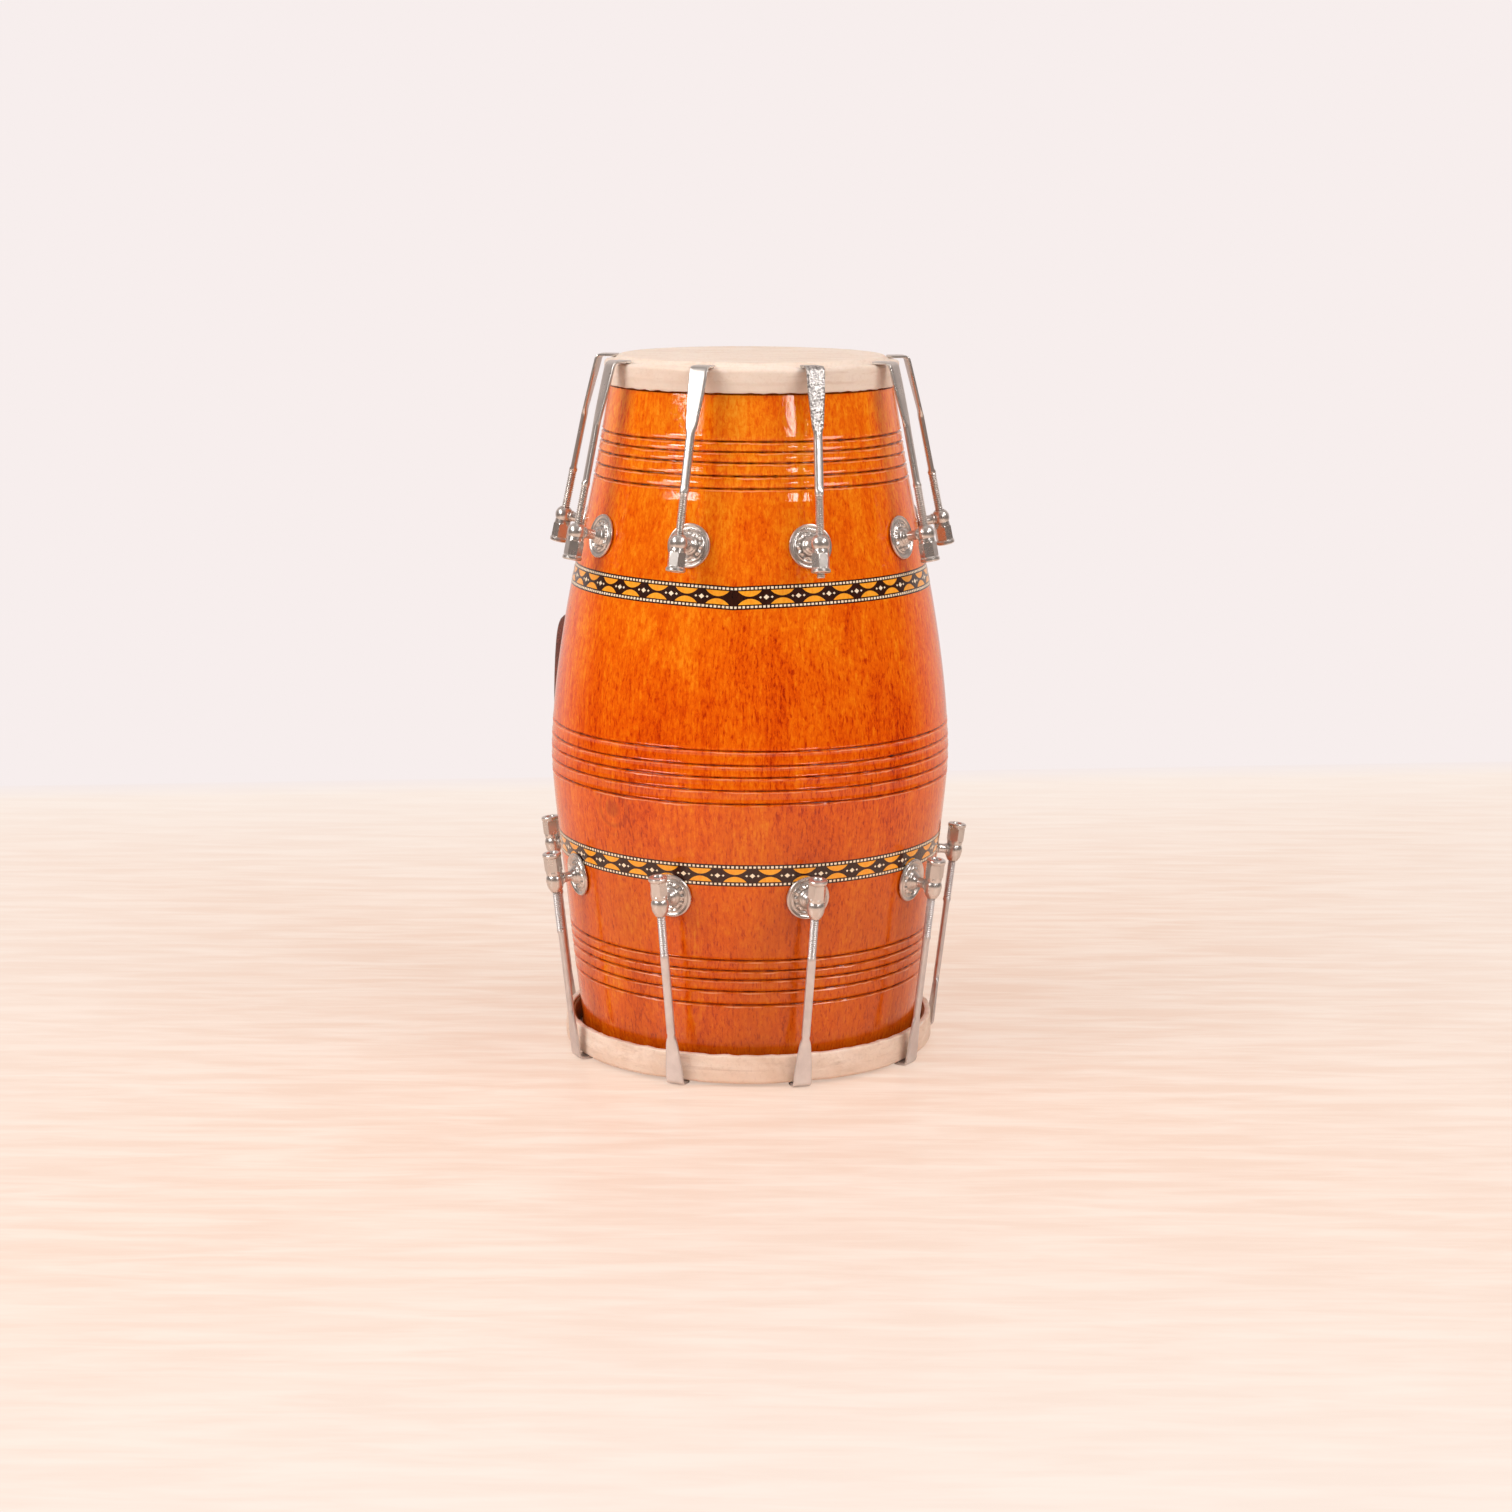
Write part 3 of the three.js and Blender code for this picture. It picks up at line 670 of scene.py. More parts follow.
def groove_ring(turn, number, share):
    """Radius, height, painted shade and painted highlight round one line of a groove, whose own edges are at
    share -1 and 1.
    """

    def wave(low, high, count, seed):
        return ripple(turn, low, high, count, seed + number)

    middle = groove_heights[number]
    cut = abs(share) < 1.1
    width = 1 + 0.16 * wave(2, 30, 5, 40) + 0.1 * wave(40, 140, 6, 80)
    chips = np.clip(wave(60, 143, 7, 160) - 1.1, 0, 1) * 0.5 * MM
    drift = 0.16 * MM * wave(1, 6, 3, 120)
    level = middle + share * GROOVE_HALF * width + drift + chips * np.sign(share) * cut
    depth = np.clip(1 - abs(share), 0, 1) * GROOVE_DEPTH * (1 + 0.2 * wave(20, 120, 5, 200))
    lip = GROOVE_LIP if abs(share) == LIP_SHARE else 0.0
    # painted highlight: a pale line along the groove's lower lip
    worn = np.clip(0.5 + 0.5 * wave(3, 60, 6, 280), 0, 0.9) * 0.5 * (-1.3 < share < -0.9)
    fade = 1.5 if middle > UPPER_GROOVES else 2.2
    # painted shade: a dark line along the groove's middle, where its walls are in shade
    stain = np.clip(1.2 - abs(share) * fade, 0, 1) * cut * (0.8 + 0.2 * wave(8, 90, 5, 240))
    return shell_radius(level) - depth + lip, level, stain, worn


def build_shell(material):
    """The wooden barrel with its cut grooves, ragged where the tool tore the grain."""
    low_edge, high_edge = (corner.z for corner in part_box("shell"))
    shoulder = side_line[-1, 0]
    turn = circle(SHELL_STEPS)
    rings = []
    # per point: painted shade in the grooves and a painted highlight on their lower lips
    paint = {"stain": [], "worn": []}

    def row(radius, height, stain=0.0, worn=0.0):
        rings.append(upright(turn, radius, height))
        for label, value in (("stain", stain), ("worn", worn)):
            paint[label].append(np.broadcast_to(value, turn.shape))

    reach = GROOVE_HALF * GROOVE_SHARES[-1] + 0.4 * MM
    marks = []
    for height in np.arange(low_edge + EDGE_SETBACK, shoulder, SIDE_STEP):
        if min(abs(height - groove) for groove in groove_heights) > reach:
            marks.append((height, None, 0.0))
    for number, groove in enumerate(groove_heights):
        marks += [(groove + share * GROOVE_HALF, number, share) for share in GROOVE_SHARES]
    marks.sort(key=lambda mark: mark[0])

    foot = shell_radius(low_edge)
    row(foot - FOOT_SETBACK, low_edge)
    row(foot - 0.6 * MM, low_edge + EDGE_SETBACK * 0.55)
    for height, number, share in marks:
        if number is None:
            row(shell_radius(height), height)
        else:
            row(*groove_ring(turn, number, share))
    outer = shell_radius(shoulder)
    spigot = outer - SPIGOT_STEP
    row(outer, shoulder)
    row(spigot, shoulder)
    for radius, drop in (
        (spigot, EDGE_SETBACK), (spigot - 0.9 * MM, EDGE_SETBACK * 0.4), (spigot - EDGE_SETBACK, 0),
        (outer - WALL + INNER_BEVEL, 0), (outer - WALL, INNER_BEVEL),
    ):
        row(radius, high_edge - drop)
    for height in np.linspace(shoulder, low_edge + INNER_BEVEL, INNER_ROWS):
        rough = 0.15 * MM * ripple(turn, 3, 30, 4, int(height / MM))
        row(shell_radius(height) - WALL + rough, height)
    row(foot - WALL + INNER_BEVEL, low_edge)

    build = Build().rings(rings, closed=True)
    mesh = build.piece("shell_turned", material, "drum", "lacquered_wood", ("shell",), 50)
    for label, values in paint.items():
        attribute = mesh.attributes.new(label, "FLOAT", "POINT")
        attribute.data.foreach_set("value", np.array(values, np.float32).reshape(-1))


class Band:
    """Where an inlay band runs: it sags to a point at its joint. Lengths along it start at the joint, and
    lengths across it start at its middle and point up."""

    def __init__(self, middle, sag, joint):
        self.middle = middle
        self.sag = sag
        self.joint = math.radians(joint)
        self.radius = shell_radius(middle)

    def point(self, along, across, lift):
        turn = along / self.radius
        off = abs((turn + math.pi) % TAU - math.pi)
        height = self.middle + self.sag * (0.5 - math.exp(-off / SAG_SPREAD)) + across
        out = shell_radius(height) + lift
        return out * math.sin(self.joint + turn), -out * math.cos(self.joint + turn), height

    def add_tile(self, build, shape, along, across, size):
        """A thin tile from its outline's corners, in halves of its size."""
        outline = [(along + x * size[0] / 2, across + y * size[1] / 2) for x, y in shape]
        build.rings([[self.point(*spot, lift) for spot in outline] for lift in (INLAY_LIFT, -INLAY_SINK)])

    def add_lens(self, build, middle, side):
        """A half lens whose flat side lies along one edge of the band; side is 1 for the upper edge."""
        flat = side * (BAND_WIDTH / 2 - LENS_INSET)
        rings = []
        for index in range(LENS_STEPS + 1):
            share = index / LENS_STEPS * 2 - 1
            along = middle + share * LENS_LENGTH / 2
            depth = side * max(LENS_HEIGHT * (1 - share * share) ** 0.85, 0.05 * MM)
            rings.append([self.point(along, flat - depth * part, lift) for part, lift in LENS_SECTION])
        build.rings(rings)


def build_band(name, band, ground, orange, cream):
    """One inlay band: its dark ground, half lenses, edge dots and small diamonds."""
    half = BAND_WIDTH / 2
    unit = TAU * band.radius / BAND_UNITS
    steps = band.radius * circle(BAND_STEPS)
    rings = [[band.point(step, share * half, lift) for step in steps] for share, lift in GROUND_SECTION]
    strip, lenses, dots, motifs = Build().rings(rings, closed=True), Build(), Build(), Build()
    for index in range(BAND_UNITS):
        joint = index * unit
        for side in (-1, 1):
            band.add_lens(lenses, (index + 0.5) * unit, side)
            for dot in range(DOTS_PER_UNIT):
                along = joint + (dot + 0.5) * unit / DOTS_PER_UNIT
                length = DOT_LENGTH * randoms.uniform(0.9, 1.1)
                height = DOT_HEIGHT * randoms.uniform(0.88, 1.08)
                band.add_tile(dots, SQUARE, along, side * (half - DOT_INSET), (length, height))
        if index > 0:
            band.add_tile(motifs, DIAMOND, joint, 0, LARGE_DIAMOND)
            for side in (-1, 1):
                band.add_tile(motifs, DIAMOND, joint + side * DIAMOND_PITCH, 0, SMALL_DIAMOND)
    for label, build, material in (
        ("ground", strip, ground), ("lenses", lenses, orange),
        ("dots", dots, cream), ("motifs", motifs, cream),
    ):
        build.piece(f"{name}_{label}", material, "drum", "lacquered_wood")


# Heads


class Head:
    """One head's sizes and its own frame, whose Z points out of the drum from the claws' outer faces."""

    def __init__(self, name, up, odd_hook, cone, **sizes):
        self.name = name
        self.up = up
        self.odd_hook = odd_hook
        self.cone = cone
        for label, size in sizes.items():
            setattr(self, label, size * MM)
        low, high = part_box(name + "_hook_1")
        self.level = high.z if up > 0 else low.z
        flip = Matrix.Rotation(0 if up > 0 else math.pi, 4, "X")
        self.matrix = Matrix.Translation((0, 0, self.level)) @ flip
        self.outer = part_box(name + "_skin")[1].x


HEADS = (  # sizes in millimetres
    Head("top", 1, 5, False, ring_height=15, plateau=3.3, crown=0.5, rim_setback=11.5, lug_drop=110.5,
         ball_reach=18.6, thread=31, neck=67.5, blade_gap=7.6, notch=0),
    Head("bottom", -1, 0, True, ring_height=18, plateau=1.1, crown=0.2, rim_setback=16.6, lug_drop=123.2,
         ball_reach=17.2, thread=35, neck=88, blade_gap=4.4, notch=0.8),
)


def skin_rows(head, seam):
    """(radius, height, kind) of a skin's rows. The kind is 0 on the level part, up to 1 towards the claws,
    2 on the side and 3 at the fold."""
    outer, face, thick = head.outer, SKIN_FACE, SKIN_THICKNESS
    plateau, end = face + head.plateau, face - head.ring_height
    start, stop = outer - head.rim_setback + 1 * MM, outer - CLAW_REACH - 1 * MM
    rows = [(start * share, plateau + head.crown * (1 - share * share), 0.0) for share in CROWN_SHARES]
    for share in SLOPE_SHARES:
        rows.append((start + (stop - start) * share, plateau + (face - plateau) * smoothstep(share), share))
    rows.append((outer - RING_SHOULDER * 1.25, face - 0.02 * MM, 1.0))
    for bend in np.arange(1, 8) / 7 * math.pi / 2:
        level = face - RING_SHOULDER * (1 - math.cos(bend))
        rows.append((outer - RING_SHOULDER * (1 - math.sin(bend)), level, 1.0))
    for level in np.linspace(face - RING_SHOULDER, end + 0.7 * MM, 14)[1:]:
        fold = smoothstep((level - seam) / (0.8 * MM) + 0.5)
        rows.append((outer - FOLD_STEP + FOLD_STEP * fold, level, 2.0))
    wrap = outer - thick
    lap, under = wrap - LAP_WIDTH, plateau - thick
    rows += [(radius, end + rise, 3.0) for radius, rise in (
        (outer - 0.5 * MM, 0.15 * MM), (outer - 0.9 * MM, 0), (lap + 0.3 * MM, 0), (lap, 0.3 * MM),
        (lap, thick), (wrap, thick),
    )]
    return rows + [(radius, level, 0.0) for radius, level in (
        (wrap, face - RING_SHOULDER - thick / 2), (wrap - RING_SHOULDER, face - thick),
        (stop - thick / 2, face - thick), (start - thick / 2, under),
        (start * 0.5, under + head.crown * 0.75), (start * 0.004, under + head.crown),
    )]


def build_skin(head, material, azimuths):
    """A hide drawn over its hoop: level over the shell's edge, pressed down by the claws, folded in under
    the hoop."""
    seam = SKIN_FACE - head.ring_height * 0.6
    turn = circle(SKIN_STEPS)
    nearest = np.full(turn.shape, TAU)
    for azimuth in azimuths:
        own = head.up * (azimuth - math.pi / 2)
        nearest = np.minimum(nearest, abs((turn - own + math.pi) % TAU - math.pi))
    between = smoothstep((nearest * head.outer - 7 * MM) / (14 * MM))
    lift = min(0.5 * MM, head.plateau * 0.4)
    rings = []
    for radius, level, kind in skin_rows(head, seam):
        if 0 < kind <= 1:
            level = level + lift * between * kind
        if kind >= 2:
            radius = radius + 0.12 * MM * ripple(turn, 3, 40, 6, 7)
            level = level + 0.22 * MM * ripple(turn, 2, 14, 4, 8) * (abs(level - seam) < 2 * MM)
        if kind == 3:
            level = level + 0.28 * MM * ripple(turn, 5, 60, 6, 9) - 0.1 * MM * ripple(turn, 60, 119, 5, 10)
        rings.append(upright(turn, radius, level))
    build = Build().rings(rings, head.matrix)
    build.piece(head.name + "_hide", material, head.name + "_head", "raw_skin", (head.name + "_skin",), 70)


def build_hoop(head, material):
    outer = head.outer - SKIN_THICKNESS - SEAT_GAP
    inner = outer - HOOP_THICKNESS
    upper = SKIN_FACE - SKIN_THICKNESS - SEAT_GAP
    lower = SKIN_FACE - head.ring_height + SKIN_THICKNESS + SEAT_GAP
    outline = [
        (inner, upper - HOOP_BEVEL), (inner, lower + HOOP_BEVEL), (inner + HOOP_BEVEL, lower),
        (outer - HOOP_BEVEL, lower), (outer, lower + HOOP_BEVEL), (outer, upper - RING_SHOULDER),
        (outer - RING_SHOULDER, upper), (inner + HOOP_BEVEL, upper),
    ]
    name = head.name + "_hoop"
    build = Build().turned(outline, 180, head.matrix)
    build.piece(name + "_turned", material, head.name + "_head", "bare_hoop", (name,))


def build_paste(head, material):
    """The round of tuning paste inside the bass skin."""
    under = SKIN_FACE + head.plateau - SKIN_THICKNESS + head.crown * 0.5
    outline = [
        (0.2 * MM, under), (PASTE_RADIUS, under), (PASTE_RADIUS - 0.8 * MM, under - 0.7 * MM),
        (PASTE_RADIUS * 0.85, under - 1.3 * MM), (PASTE_RADIUS * 0.6, under - 1.9 * MM),
        (PASTE_RADIUS * 0.3, under - PASTE_THICKNESS), (0.2 * MM, under - PASTE_THICKNESS),
    ]
    build = Build().turned(outline, 96, head.matrix, closed=False)
    build.piece("bottom_paste", material, "bottom_head", "raw_skin")


# Lugs, hooks and nuts


def mass_middle(node):
    """Centre of mass of a CAD node."""
    node.data.calc_loop_triangles()
    corners = corners_of(node)
    triangles = np.array([triangle.vertices[:] for triangle in node.data.loop_triangles])
    first, second, third = (corners[triangles[:, side]] for side in range(3))
    volumes = np.einsum("ij,ij->i", first, np.cross(second, third))
    return (volumes[:, None] * (first + second + third)).sum(axis=0) / (4 * volumes.sum())


class Station:
    """Where one lug, hook and nut stand. Plane points are (out, along): out from the drum's axis, along
    out of the drum's head from the claws' outer faces."""

    def __init__(self, head, number):
        self.head = head
        self.number = number
        self.axis = Vector(joints[f"{head.name}_nut_{number}_turn"]["axis"]).normalized()
        middle = mass_middle(frame["nodes"][f"{head.name}_lug_{number}"])
        self.azimuth = math.atan2(middle[0], -middle[1])
        self.matrix = head.matrix @ Matrix.Rotation(head.up * (self.azimuth - math.pi / 2), 4, "Z")
        height = head.level - head.up * head.lug_drop
        step = 1 * MM
        change = shell_radius(height + step) - shell_radius(height - step)
        self.lean = -head.up * math.atan2(change, 2 * step)
        self.stem = Vector((math.cos(self.lean), math.sin(self.lean)))
        self.rod = Vector((-math.sin(self.lean), math.cos(self.lean)))
        self.seat = Vector((shell_radius(height), -head.lug_drop))
        self.ball = self.seat + self.stem * head.ball_reach

    def along(self, reach):
        """Plane point on the rod's line, reach past the ball towards the claw."""
        return self.ball + self.rod * reach

    def ring(self, reach, turn, radius):
        """Round ring across the rod."""
        return crosswise(self.along(reach), self.stem, np.cos(turn) * radius, np.sin(turn) * radius)

    def hook_lean(self):
        """Leans a hook sideways from the ball, as its joint's axis does, with its claw kept level."""
        axis = self.matrix.to_3x3().inverted() @ self.axis
        slope = axis.y / (axis.x * self.rod.x + axis.z * self.rod.y)
        lean = Matrix.Identity(4)
        lean[1][0] = slope * self.rod.x
        lean[1][2] = slope * self.rod.y
        lean[1][3] = -slope * self.ball.dot(self.rod)
        return lean

    def nut_matrix(self):
        """Like matrix, but turned about the ball so that the nut lies along its joint's axis."""
        flat = self.matrix.to_3x3() @ Vector((-self.rod.x, 0, -self.rod.y))
        ball = self.matrix @ Vector((self.ball.x, 0, self.ball.y))
        turn = flat.rotation_difference(self.axis).to_matrix().to_4x4()
        return Matrix.Translation(ball) @ turn @ Matrix.Translation(-ball) @ self.matrix


def threaded_rings(station, start, stop):
    """Rings along a threaded rod, each a circle whose radius follows the thread."""
    turn = circle(HOOK_POINTS)
    count = int((stop - start) / (THREAD_PITCH / RINGS_PER_PITCH))
    rings = []
    for reach in start + (stop - start) * np.arange(count + 1) / count:
        wave = abs((reach / THREAD_PITCH - turn / TAU) % 1 * 2 - 1)
        fade = min(1, (stop - reach) / (2 * THREAD_PITCH))
        rings.append(station.ring(reach, turn, ROD_RADIUS - THREAD_DEPTH * wave * fade))
    return rings


def hook_mesh(name, station, rod_end):
    """A rod that is threaded at one end and forged flat into a spade and a claw at the other."""
    head, thread, neck = station.head, station.head.thread, station.head.neck
    rings = []

    def bar(middle, normal, width, thickness, power):
        """A rounded rectangle across the hook, from a circle at power 2 to nearly square at 7."""
        parts = rounded(HOOK_POINTS, width, thickness, 2 / power, 2 / power)
        rings.append(crosswise(middle, normal, *parts))

    def rod(reach, *size):
        bar(station.along(reach), station.stem, *size)

    def between(first, last, share):
        return first + (last - first) * share

    tip_size = (ROD_RADIUS - ROD_CHAMFER) * 2
    rod(-rod_end, tip_size, tip_size, 2)
    rings += threaded_rings(station, -rod_end + ROD_CHAMFER, thread)
    for reach, share in ((0.5, 0.35), (1.2, 0.75), (2.2, 1.0)):
        size = (between(2 * ROD_RADIUS, side, share) for side in STRIP)
        rod(thread + reach * MM, *size, 2 + 1.2 * share)
    for share in np.linspace(0.12, 0.93, 8):
        rod(between(thread, neck, share), *STRIP, 3.2)
    rod(neck - 1.5 * MM, *STRIP, 3.2)
    narrow = (STRIP[0] - head.notch, STRIP[1])
    rod(neck, *narrow, 3.4)
    for share in (0.3, 0.6, 1.0):
        ends = zip(narrow, (BLADE_WIDTHS[0], BLADE_THICKNESS))
        size = (between(first, last, smoothstep(share)) for first, last in ends)
        rod(neck + SHOULDER_LENGTH * share, *size, 3.5 + share)

    shoulder = station.along(neck + SHOULDER_LENGTH)
    corner = Vector((head.outer + head.blade_gap, -CLAW_THICKNESS / 2))
    tip = Vector((head.outer - CLAW_REACH, -CLAW_THICKNESS / 2))
    upward = (corner - shoulder).normalized()
    inward = (tip - corner).normalized()
    angle = upward.angle(inward)
    cut = BEND_RADIUS * math.tan(angle / 2)
    bend_start = corner - upward * cut
    bend_end = corner + inward * cut
    normal = Vector((upward.y, -upward.x))
    for share in np.linspace(0.08, 1.0, 9):
        width = np.interp(share, (0, 0.62, 1), BLADE_WIDTHS)
        bar(shoulder.lerp(bend_start, float(share)), normal, width, BLADE_THICKNESS, 5)
    wide = BLADE_WIDTHS[2]
    centre = bend_start - normal * BEND_RADIUS
    for share in (0.17, 0.34, 0.5, 0.67, 0.84, 1.0):
        turned = normal.copy()
        turned.rotate(Matrix.Rotation(angle * share, 2))
        thickness = between(BLADE_THICKNESS, CLAW_THICKNESS, share)
        bar(centre + turned * BEND_RADIUS, turned, wide, thickness, 5.5)
    outward = Vector((inward.y, -inward.x))
    for share, narrower, thinner, power in (
        (0.3, 0, 1, 7), (0.6, 0, 1, 7), (0.9, 0, 1, 7), (0.97, 0.5, 0.9, 6), (1, 1.4, 0.55, 5),
    ):
        middle = bend_end.lerp(tip, share)
        bar(middle, outward, wide - narrower * MM, CLAW_THICKNESS * thinner, power)
    return Build().rings(rings).mesh(name, 35)


def nut_mesh(name, station):
    """A long hexagon nut: hollow shoulder against the ball, chamfered flats and a round collar at its
    free end."""
    turn = circle(NUT_POINTS)
    sixth = TAU / 6
    hexagon = NUT_FLATS / 2 / np.cos((turn % sixth) - sixth / 2)
    rings = []
    for start, stages in NUT_PROFILE:
        for height, radius in stages:
            reach = start + height * MM
            flat = NUT_SKIRT + 2 * MM < reach < NUT_COLLAR - 0.1 * MM
            radius = np.minimum(hexagon, radius * MM) if flat else radius * MM
            rings.append(station.ring(-reach, turn, radius))
    return Build().rings(rings, closed=True).mesh(name, 28)


def lug_mesh(name, station):
    """A dished rosette with a scalloped ring, its stem and its drilled ball, and the shank and nut in the
    shell."""
    build = Build()
    lean = Matrix.Rotation(-station.lean, 4, "Y")
    seat, hole = (Matrix.Translation((spot.x, 0, spot.y)) for spot in (station.seat, station.ball))
    seat, hole = seat @ (lean @ Matrix.Rotation(math.pi / 2, 4, "Y")), hole @ lean

    def turned(profile, steps, matrix, start=0.0, closed=True):
        outline = [(radius * MM, (start + height) * MM) for radius, height in profile]
        build.turned(outline, steps, matrix, closed)

    turn = circle(120)
    rings = []
    for radius, height in PLATE_PROFILE:
        petals = math.exp(-((radius - PETAL_RADIUS) / PETAL_SPREAD) ** 2) if height > 0.5 else 0.0
        scallop = petals * np.cos(PETALS * turn)
        rings.append(upright(turn, radius * (1 + 0.045 * scallop), height + 0.34 * scallop) * MM)
    build.rings(rings, seat, closed=True)

    end = station.head.ball_reach / MM - 4.3
    waist = (STEM_FOOT + end) / 2
    stem = [(3.3, STEM_FOOT), (3.15, waist - 1.4), (3.1, waist)]
    stem += [(radius, end + height) for radius, height in STEM_END]
    turned(stem, 48, seat, closed=False)
    inner = -(WALL / MM + 1)
    turned(INNER_NUT, 6, seat, inner, closed=False)
    turned(WASHER, 40, seat, inner)

    lowest = math.asin(BALL_HALF / BALL_RADIUS)
    bends = np.linspace(-lowest, lowest, 25)
    bead = [(BALL_RADIUS * math.cos(bend), BALL_RADIUS * math.sin(bend)) for bend in bends]
    bead += [(HOLE_RADIUS - 0.15 * MM, side * (BALL_HALF - 0.4 * MM)) for side in (1, -1)]
    build.turned(bead, 64, hole)
    if station.head.cone:
        turned(CONE, 64, hole)
    return build.mesh(name, 32)


def build_stations(head, look, hook_look, odd_look):
    """All lugs, hooks and nuts of one head, from shared shapes, with its odd hook longer. Gives their
    azimuths."""
    stations = [Station(head, number) for number in range(1, STATIONS + 1)]
    model = stations[0]
    lug = lug_mesh(head.name + "_lug", model)
    nut = nut_mesh(head.name + "_nut", model)
    hook = hook_mesh(head.name + "_hook", model, NUT_END - ROD_RECESS)
    odd_hook = hook_mesh(head.name + "_hook_long", model, NUT_END + ROD_STUB)
    for station in stations:
        odd = station.number == head.odd_hook
        own_hook = (odd_hook if odd else hook).copy()
        own_hook.transform(station.hook_lean())
        for kind, mesh, matrix, material in (
            ("lug", lug.copy(), station.matrix, look),
            ("hook", own_hook, station.matrix, odd_look if odd else hook_look),
            ("nut", nut.copy(), station.nut_matrix(), look),
        ):
            node = f"{head.name}_{kind}_{station.number}"
            body = "drum" if kind == "lug" else node
            place(node + "_forged", mesh, material, body, (node,), matrix)
    return [station.azimuth for station in stations]


# Handle


def cut_corners(path):
    """Rounds a line by cutting each corner, with its ends kept."""
    rounder = [path[0]]
    for first, second in zip(path, path[1:]):
        rounder += [0.75 * first + 0.25 * second, 0.25 * first + 0.75 * second]
    return rounder + [path[-1]]


def handle_path():
    """Middle line of the handle in (out, height), from its upper foot to its lower one."""
    top, half = HANDLE_LENGTH / 2, HANDLE_THICKNESS / 2
    out = HANDLE_REACH - half
    seat = HANDLE_FOOT_THICKNESS / 2 + SEAT_GAP

    def part(side):
        """From a foot's end to the middle; side is 1 for the upper foot."""
        feet = ((top + HANDLE_FOOT, 0), (top + 2 * MM, 0), (top - half, FOOT_BEND))
        points = []
        for height, off in feet:
            points.append((shell_radius(HANDLE_MIDDLE + side * height) + seat + off, height))
        points += [(out - HANDLE_BOW - 5 * MM, top - half), (out - HANDLE_BOW, top - half - 6 * MM)]
        points += [(out - 1 * MM, top - 0.25 * HANDLE_LENGTH), (out, 0)]
        return [np.array((x, HANDLE_MIDDLE + side * height)) for x, height in points]

    path = part(1) + part(-1)[-2::-1]
    for _ in range(3):
        path = cut_corners(path)
    return np.array(path)


def build_handle(cover, cotton, metal):
    """The leather grip on its two feet, its stitches and its screws."""
    path = handle_path()
    station = Matrix.Rotation(HANDLE_AZIMUTH - math.pi / 2, 4, "Z")
    travel = np.concatenate([[0], np.cumsum(np.hypot(*np.diff(path, axis=0).T))])
    total = travel[-1]
    where = np.linspace(0, total, HANDLE_ROWS)
    line = np.stack([np.interp(where, travel, path[:, axis]) for axis in (0, 1)], axis=1)
    direction = np.gradient(line, axis=0)
    direction /= np.hypot(*direction.T)[:, None]
    outward = np.stack([direction[:, 1], -direction[:, 0]], axis=1)

    rings = []
    for spot, middle, normal in zip(where, line, outward):
        from_end = min(spot, total - spot)
        stages = (0, HANDLE_FOOT, HANDLE_FOOT * 2), (3.4 * MM, 3.8 * MM, HANDLE_THICKNESS)
        thickness = np.interp(from_end, *stages)
        width = HANDLE_WIDTH * (0.93 if from_end < 1.2 * MM else 1)
        rings.append(crosswise(middle, -normal, *rounded(HANDLE_POINTS, width, thickness, 0.35, 0.8)))
    grip = Build().rings(rings, station)
    grip.piece("handle_grip", cover, "drum", "brown_leather", ("handle",), 60)

    stitches = Build()
    turn = circle(8)
    for side in (-1, 1):
        aside = side * (HANDLE_WIDTH / 2 * 0.9 - 2.4 * MM)
        for step in range(int((total - 2 * STITCH_START) / STITCH_PITCH)):
            rings = []
            for share in np.linspace(0, 1, 6):
                spot = STITCH_START + step * STITCH_PITCH + share * STITCH_LENGTH
                index = np.interp(spot, where, np.arange(HANDLE_ROWS))
                low = int(index)
                arch = math.sin(math.pi * share)
                lift = HANDLE_THICKNESS / 2 * 0.86 + 0.32 * MM * arch - 0.1 * MM
                middle = line[low] * (1 - index + low) + line[low + 1] * (index - low) + outward[low] * lift
                size = STITCH_RADIUS * (0.6 + 0.4 * arch)
                wide, thick = aside + np.cos(turn) * size, np.sin(turn) * size
                rings.append(crosswise(middle, outward[low], wide, thick))
            stitches.rings(rings, station)
    stitches.piece("handle_stitches", cotton, "drum", "brown_leather")

    screws = Build()
    for index in SCREW_ROWS:
        own = Vector((outward[index, 0], 0, outward[index, 1]))
        spot = Vector((line[index, 0], 0, line[index, 1])) + own * SCREW_LIFT
        facing = Vector((0, 0, 1)).rotation_difference(own).to_matrix().to_4x4()
        for side in (-1, 1):
            matrix = station @ Matrix.Translation(spot + Vector((0, side * SCREW_ASIDE, 0))) @ facing
            screws.turned(np.array(SCREW_DOME) * MM, 32, matrix, closed=False)
    screws.piece("handle_screws", metal, "drum", "bright_steel")


# Studio


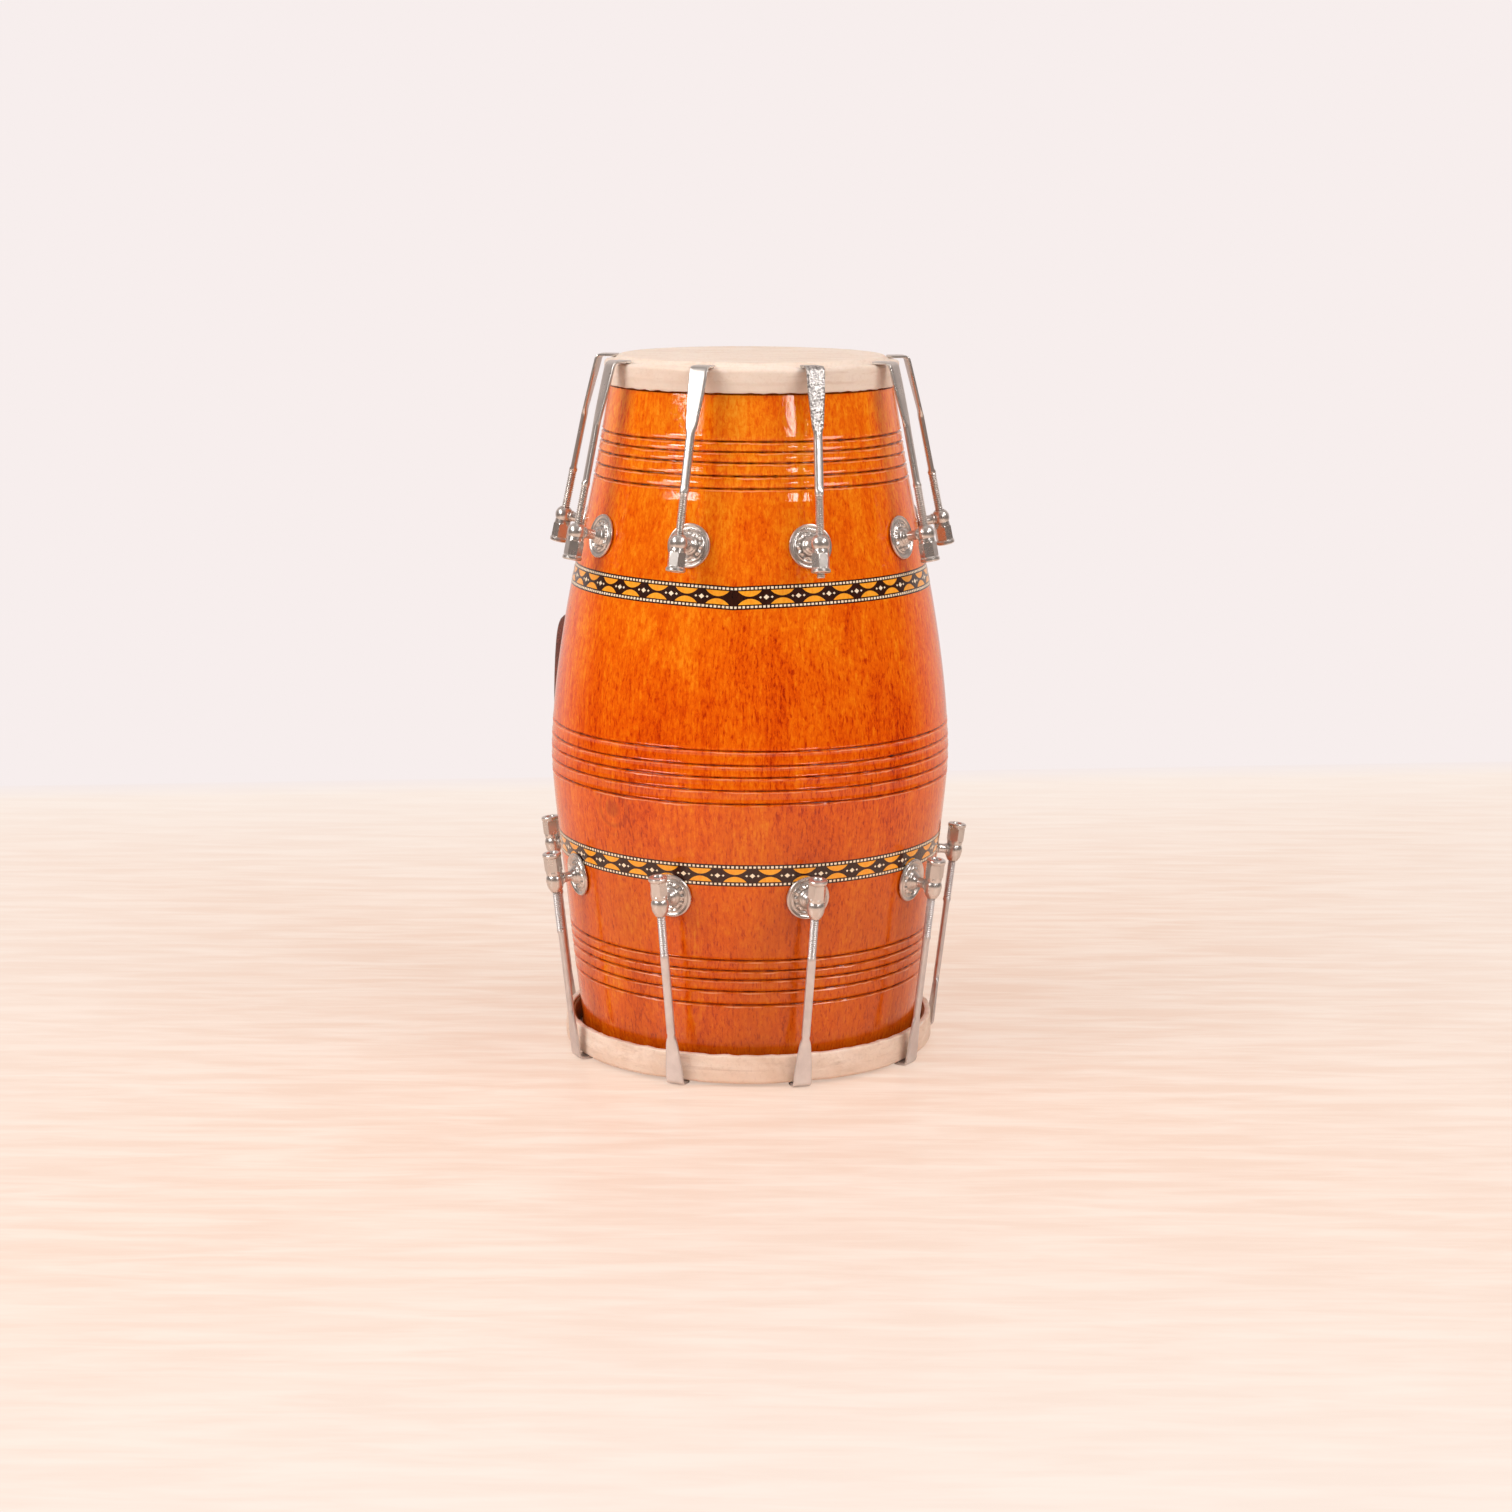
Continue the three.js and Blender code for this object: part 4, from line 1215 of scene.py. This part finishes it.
def build_floor():
    """A pale table whose far edge is soft, with the wall's colour shown to the camera past it."""
    shade = Shader("pale_table")
    where = shade.place()
    across, deep, _ = shade.split(where)
    grain = shade.noise(shade.place((1, 7, 1)), 9, 4, 0.6, 0.3)
    cloud = shade.noise(where, 1.3, 2, 0.5)
    table = shade.mix(shade.band(grain, 0.38, 0.64), rgb(246, 213, 191), rgb(255, 232, 215))
    table = shade.mix(shade.times(cloud, 0.3), table, rgb(251, 219, 202))
    shade.set(Base_Color=table, Roughness=0.24, Specular_IOR_Level=0.35)
    aside = shade.math("ABSOLUTE", across)
    tilted = shade.less(deep, shade.times(across, TABLE_EDGE_SLOPE))
    depth = shade.larger(shade.math("ABSOLUTE", tilted), aside)
    past = shade.band(depth, TABLE_HALF - TABLE_EDGE_BLUR, TABLE_HALF + TABLE_EDGE_BLUR)
    camera = shade.node("LightPath").outputs["Is Camera Ray"]
    shown = shade.mix(shade.band(depth, 0.1, TABLE_HALF, 0.85), table, rgb(254, 244, 236))
    seen = shade.times(camera, shade.band(depth, 0.1, TABLE_HALF, TABLE_SHOWN + 0.3, TABLE_SHOWN))

    front = shade.band(shade.times(deep, -1.0), *TABLE_FRONT)
    mirrored = shade.larger(front, shade.band(deep, *TABLE_BACK))
    mirrored = shade.larger(mirrored, shade.band(aside, *TABLE_SIDE))
    ends = shade.mix(camera, mirrored, past)
    toward = shade.node("VectorMath", {0: where}, operation="NORMALIZE").outputs["Vector"]
    behind = shade.band(shade.split(toward)["Y"], *ROOM_TO_WALL, ease="SMOOTHSTEP")
    beyond = shade.mix(camera, shade.mix(behind, ROOM_COLOUR, REFLECTED_WALL), WALL_COLOUR)
    wall = shade.node("Emission", {"Color": shade.mix(past, shown, beyond)})
    blend = shade.blend(shade.larger(ends, seen), shade.surface.outputs[0], wall.outputs[0])
    shade.put(shade.nodes["Material Output"].inputs["Surface"], blend)

    mesh = bpy.data.meshes.new("floor")
    corners = [(x * FLOOR_HALF, y * FLOOR_HALF, -FLOOR_DROP) for x, y in SQUARE]
    mesh.from_pydata(corners, [], [(0, 1, 2, 3)])
    mesh.materials.append(shade.material)
    floor = add_object("floor", mesh)


def build_world():
    """Even soft light for matt surfaces. The camera sees the wall's colour, and glossy surfaces see that
    wall behind the drum and a darker room in front of it."""
    world = bpy.data.worlds.new("studio")
    bpy.context.scene.world = world
    tree = Tree(world)
    soft = tree.nodes["Background"]
    tree.put(soft.inputs["Color"], SOFT_COLOUR)
    tree.put(soft.inputs["Strength"], SOFT_LIGHT)
    direction = tree.split(tree.node("TexCoord").outputs["Generated"])
    behind = tree.band(direction["Y"], *ROOM_TO_WALL, ease="SMOOTHSTEP")
    above = tree.band(direction["Z"], *ROOM_TO_CEILING, ease="SMOOTHSTEP")
    room = tree.mix(behind, tree.mix(above, ROOM_COLOUR, CEILING_COLOUR), REFLECTED_WALL)
    room, wall = (tree.node("Background", {"Color": colour}).outputs[0] for colour in (room, WALL_COLOUR))
    rays = tree.node("LightPath").outputs
    glossy = tree.blend(rays["Is Glossy Ray"], soft.outputs[0], room)
    seen = tree.larger(rays["Is Camera Ray"], rays["Is Transmission Ray"])
    tree.put(tree.nodes["World Output"].inputs["Surface"], tree.blend(seen, glossy, wall))


def add_lamp(name, spot, target, width, height, power, tint):
    lamp = bpy.data.lights.new(name, "AREA")
    lamp.shape = "RECTANGLE"
    lamp.size = width
    lamp.size_y = height
    lamp.energy = power
    lamp.color = (1, *tint)
    holder = add_object(name, lamp)
    holder.location = spot
    aim = Vector((0, 0, target)) - Vector(spot)
    holder.rotation_euler = aim.to_track_quat("-Z", "Y").to_euler()


def build_camera():
    lens = bpy.data.cameras.new("camera")
    lens.sensor_width = SENSOR_WIDTH
    lens.lens = FOCAL_SHARE * SENSOR_WIDTH
    lens.clip_end = 60
    camera = add_object("camera", lens)
    tilt = Matrix.Rotation(math.pi / 2 - CAMERA_DOWN, 4, "X") @ Matrix.Rotation(CAMERA_ROLL, 4, "Z")
    camera.matrix_world = Matrix.Translation(CAMERA_PLACE) @ tilt
    bpy.context.scene.camera = camera


build_camera()
build_world()
build_floor()
for lamp_values in LAMPS:
    add_lamp(*lamp_values)

build_shell(lacquered_wood())
band_looks = (
    inlay("inlay_ground", rgb(56, 18, 4), rgb(34, 10, 2)),
    inlay("inlay_orange", rgb(255, 174, 44), rgb(248, 148, 26)),
    inlay("inlay_cream", rgb(255, 240, 214), rgb(250, 222, 184)),
)
for band_name, *band_values in BANDS:
    build_band(band_name, Band(*band_values), *band_looks)

bright = steel("bright_steel", (0.71, 0.67, 0.64, 1), 0.28)
plated = steel("plated_steel", (0.69, 0.65, 0.62, 1), 0.28)
hammered = steel("hammered_steel", (0.72, 0.68, 0.66, 1), 0.3, dents=0.8)
satin = steel("satin_steel", (0.74, 0.72, 0.72, 1), 0.42, brushed=0.1)
treble, bass = HEADS
top_azimuths = build_stations(treble, plated, bright, hammered)
bottom_azimuths = build_stations(bass, plated, satin, satin)
treble_hide = rawhide("treble_hide", rgb(240, 221, 206), rgb(233, 209, 191), rgb(198, 162, 136), 442 * MM)
build_skin(treble, treble_hide, top_azimuths)
bass_hide = rawhide("bass_hide", rgb(247, 226, 210), rgb(226, 197, 175), rgb(168, 128, 106), 9 * MM)
build_skin(bass, bass_hide, bottom_azimuths)
hoop_wood = bare_wood()
build_hoop(treble, hoop_wood)
build_hoop(bass, hoop_wood)
build_paste(bass, paste())
build_handle(leather(), thread_cotton(), bright)

bpy.context.scene.view_settings.view_transform = "Standard"
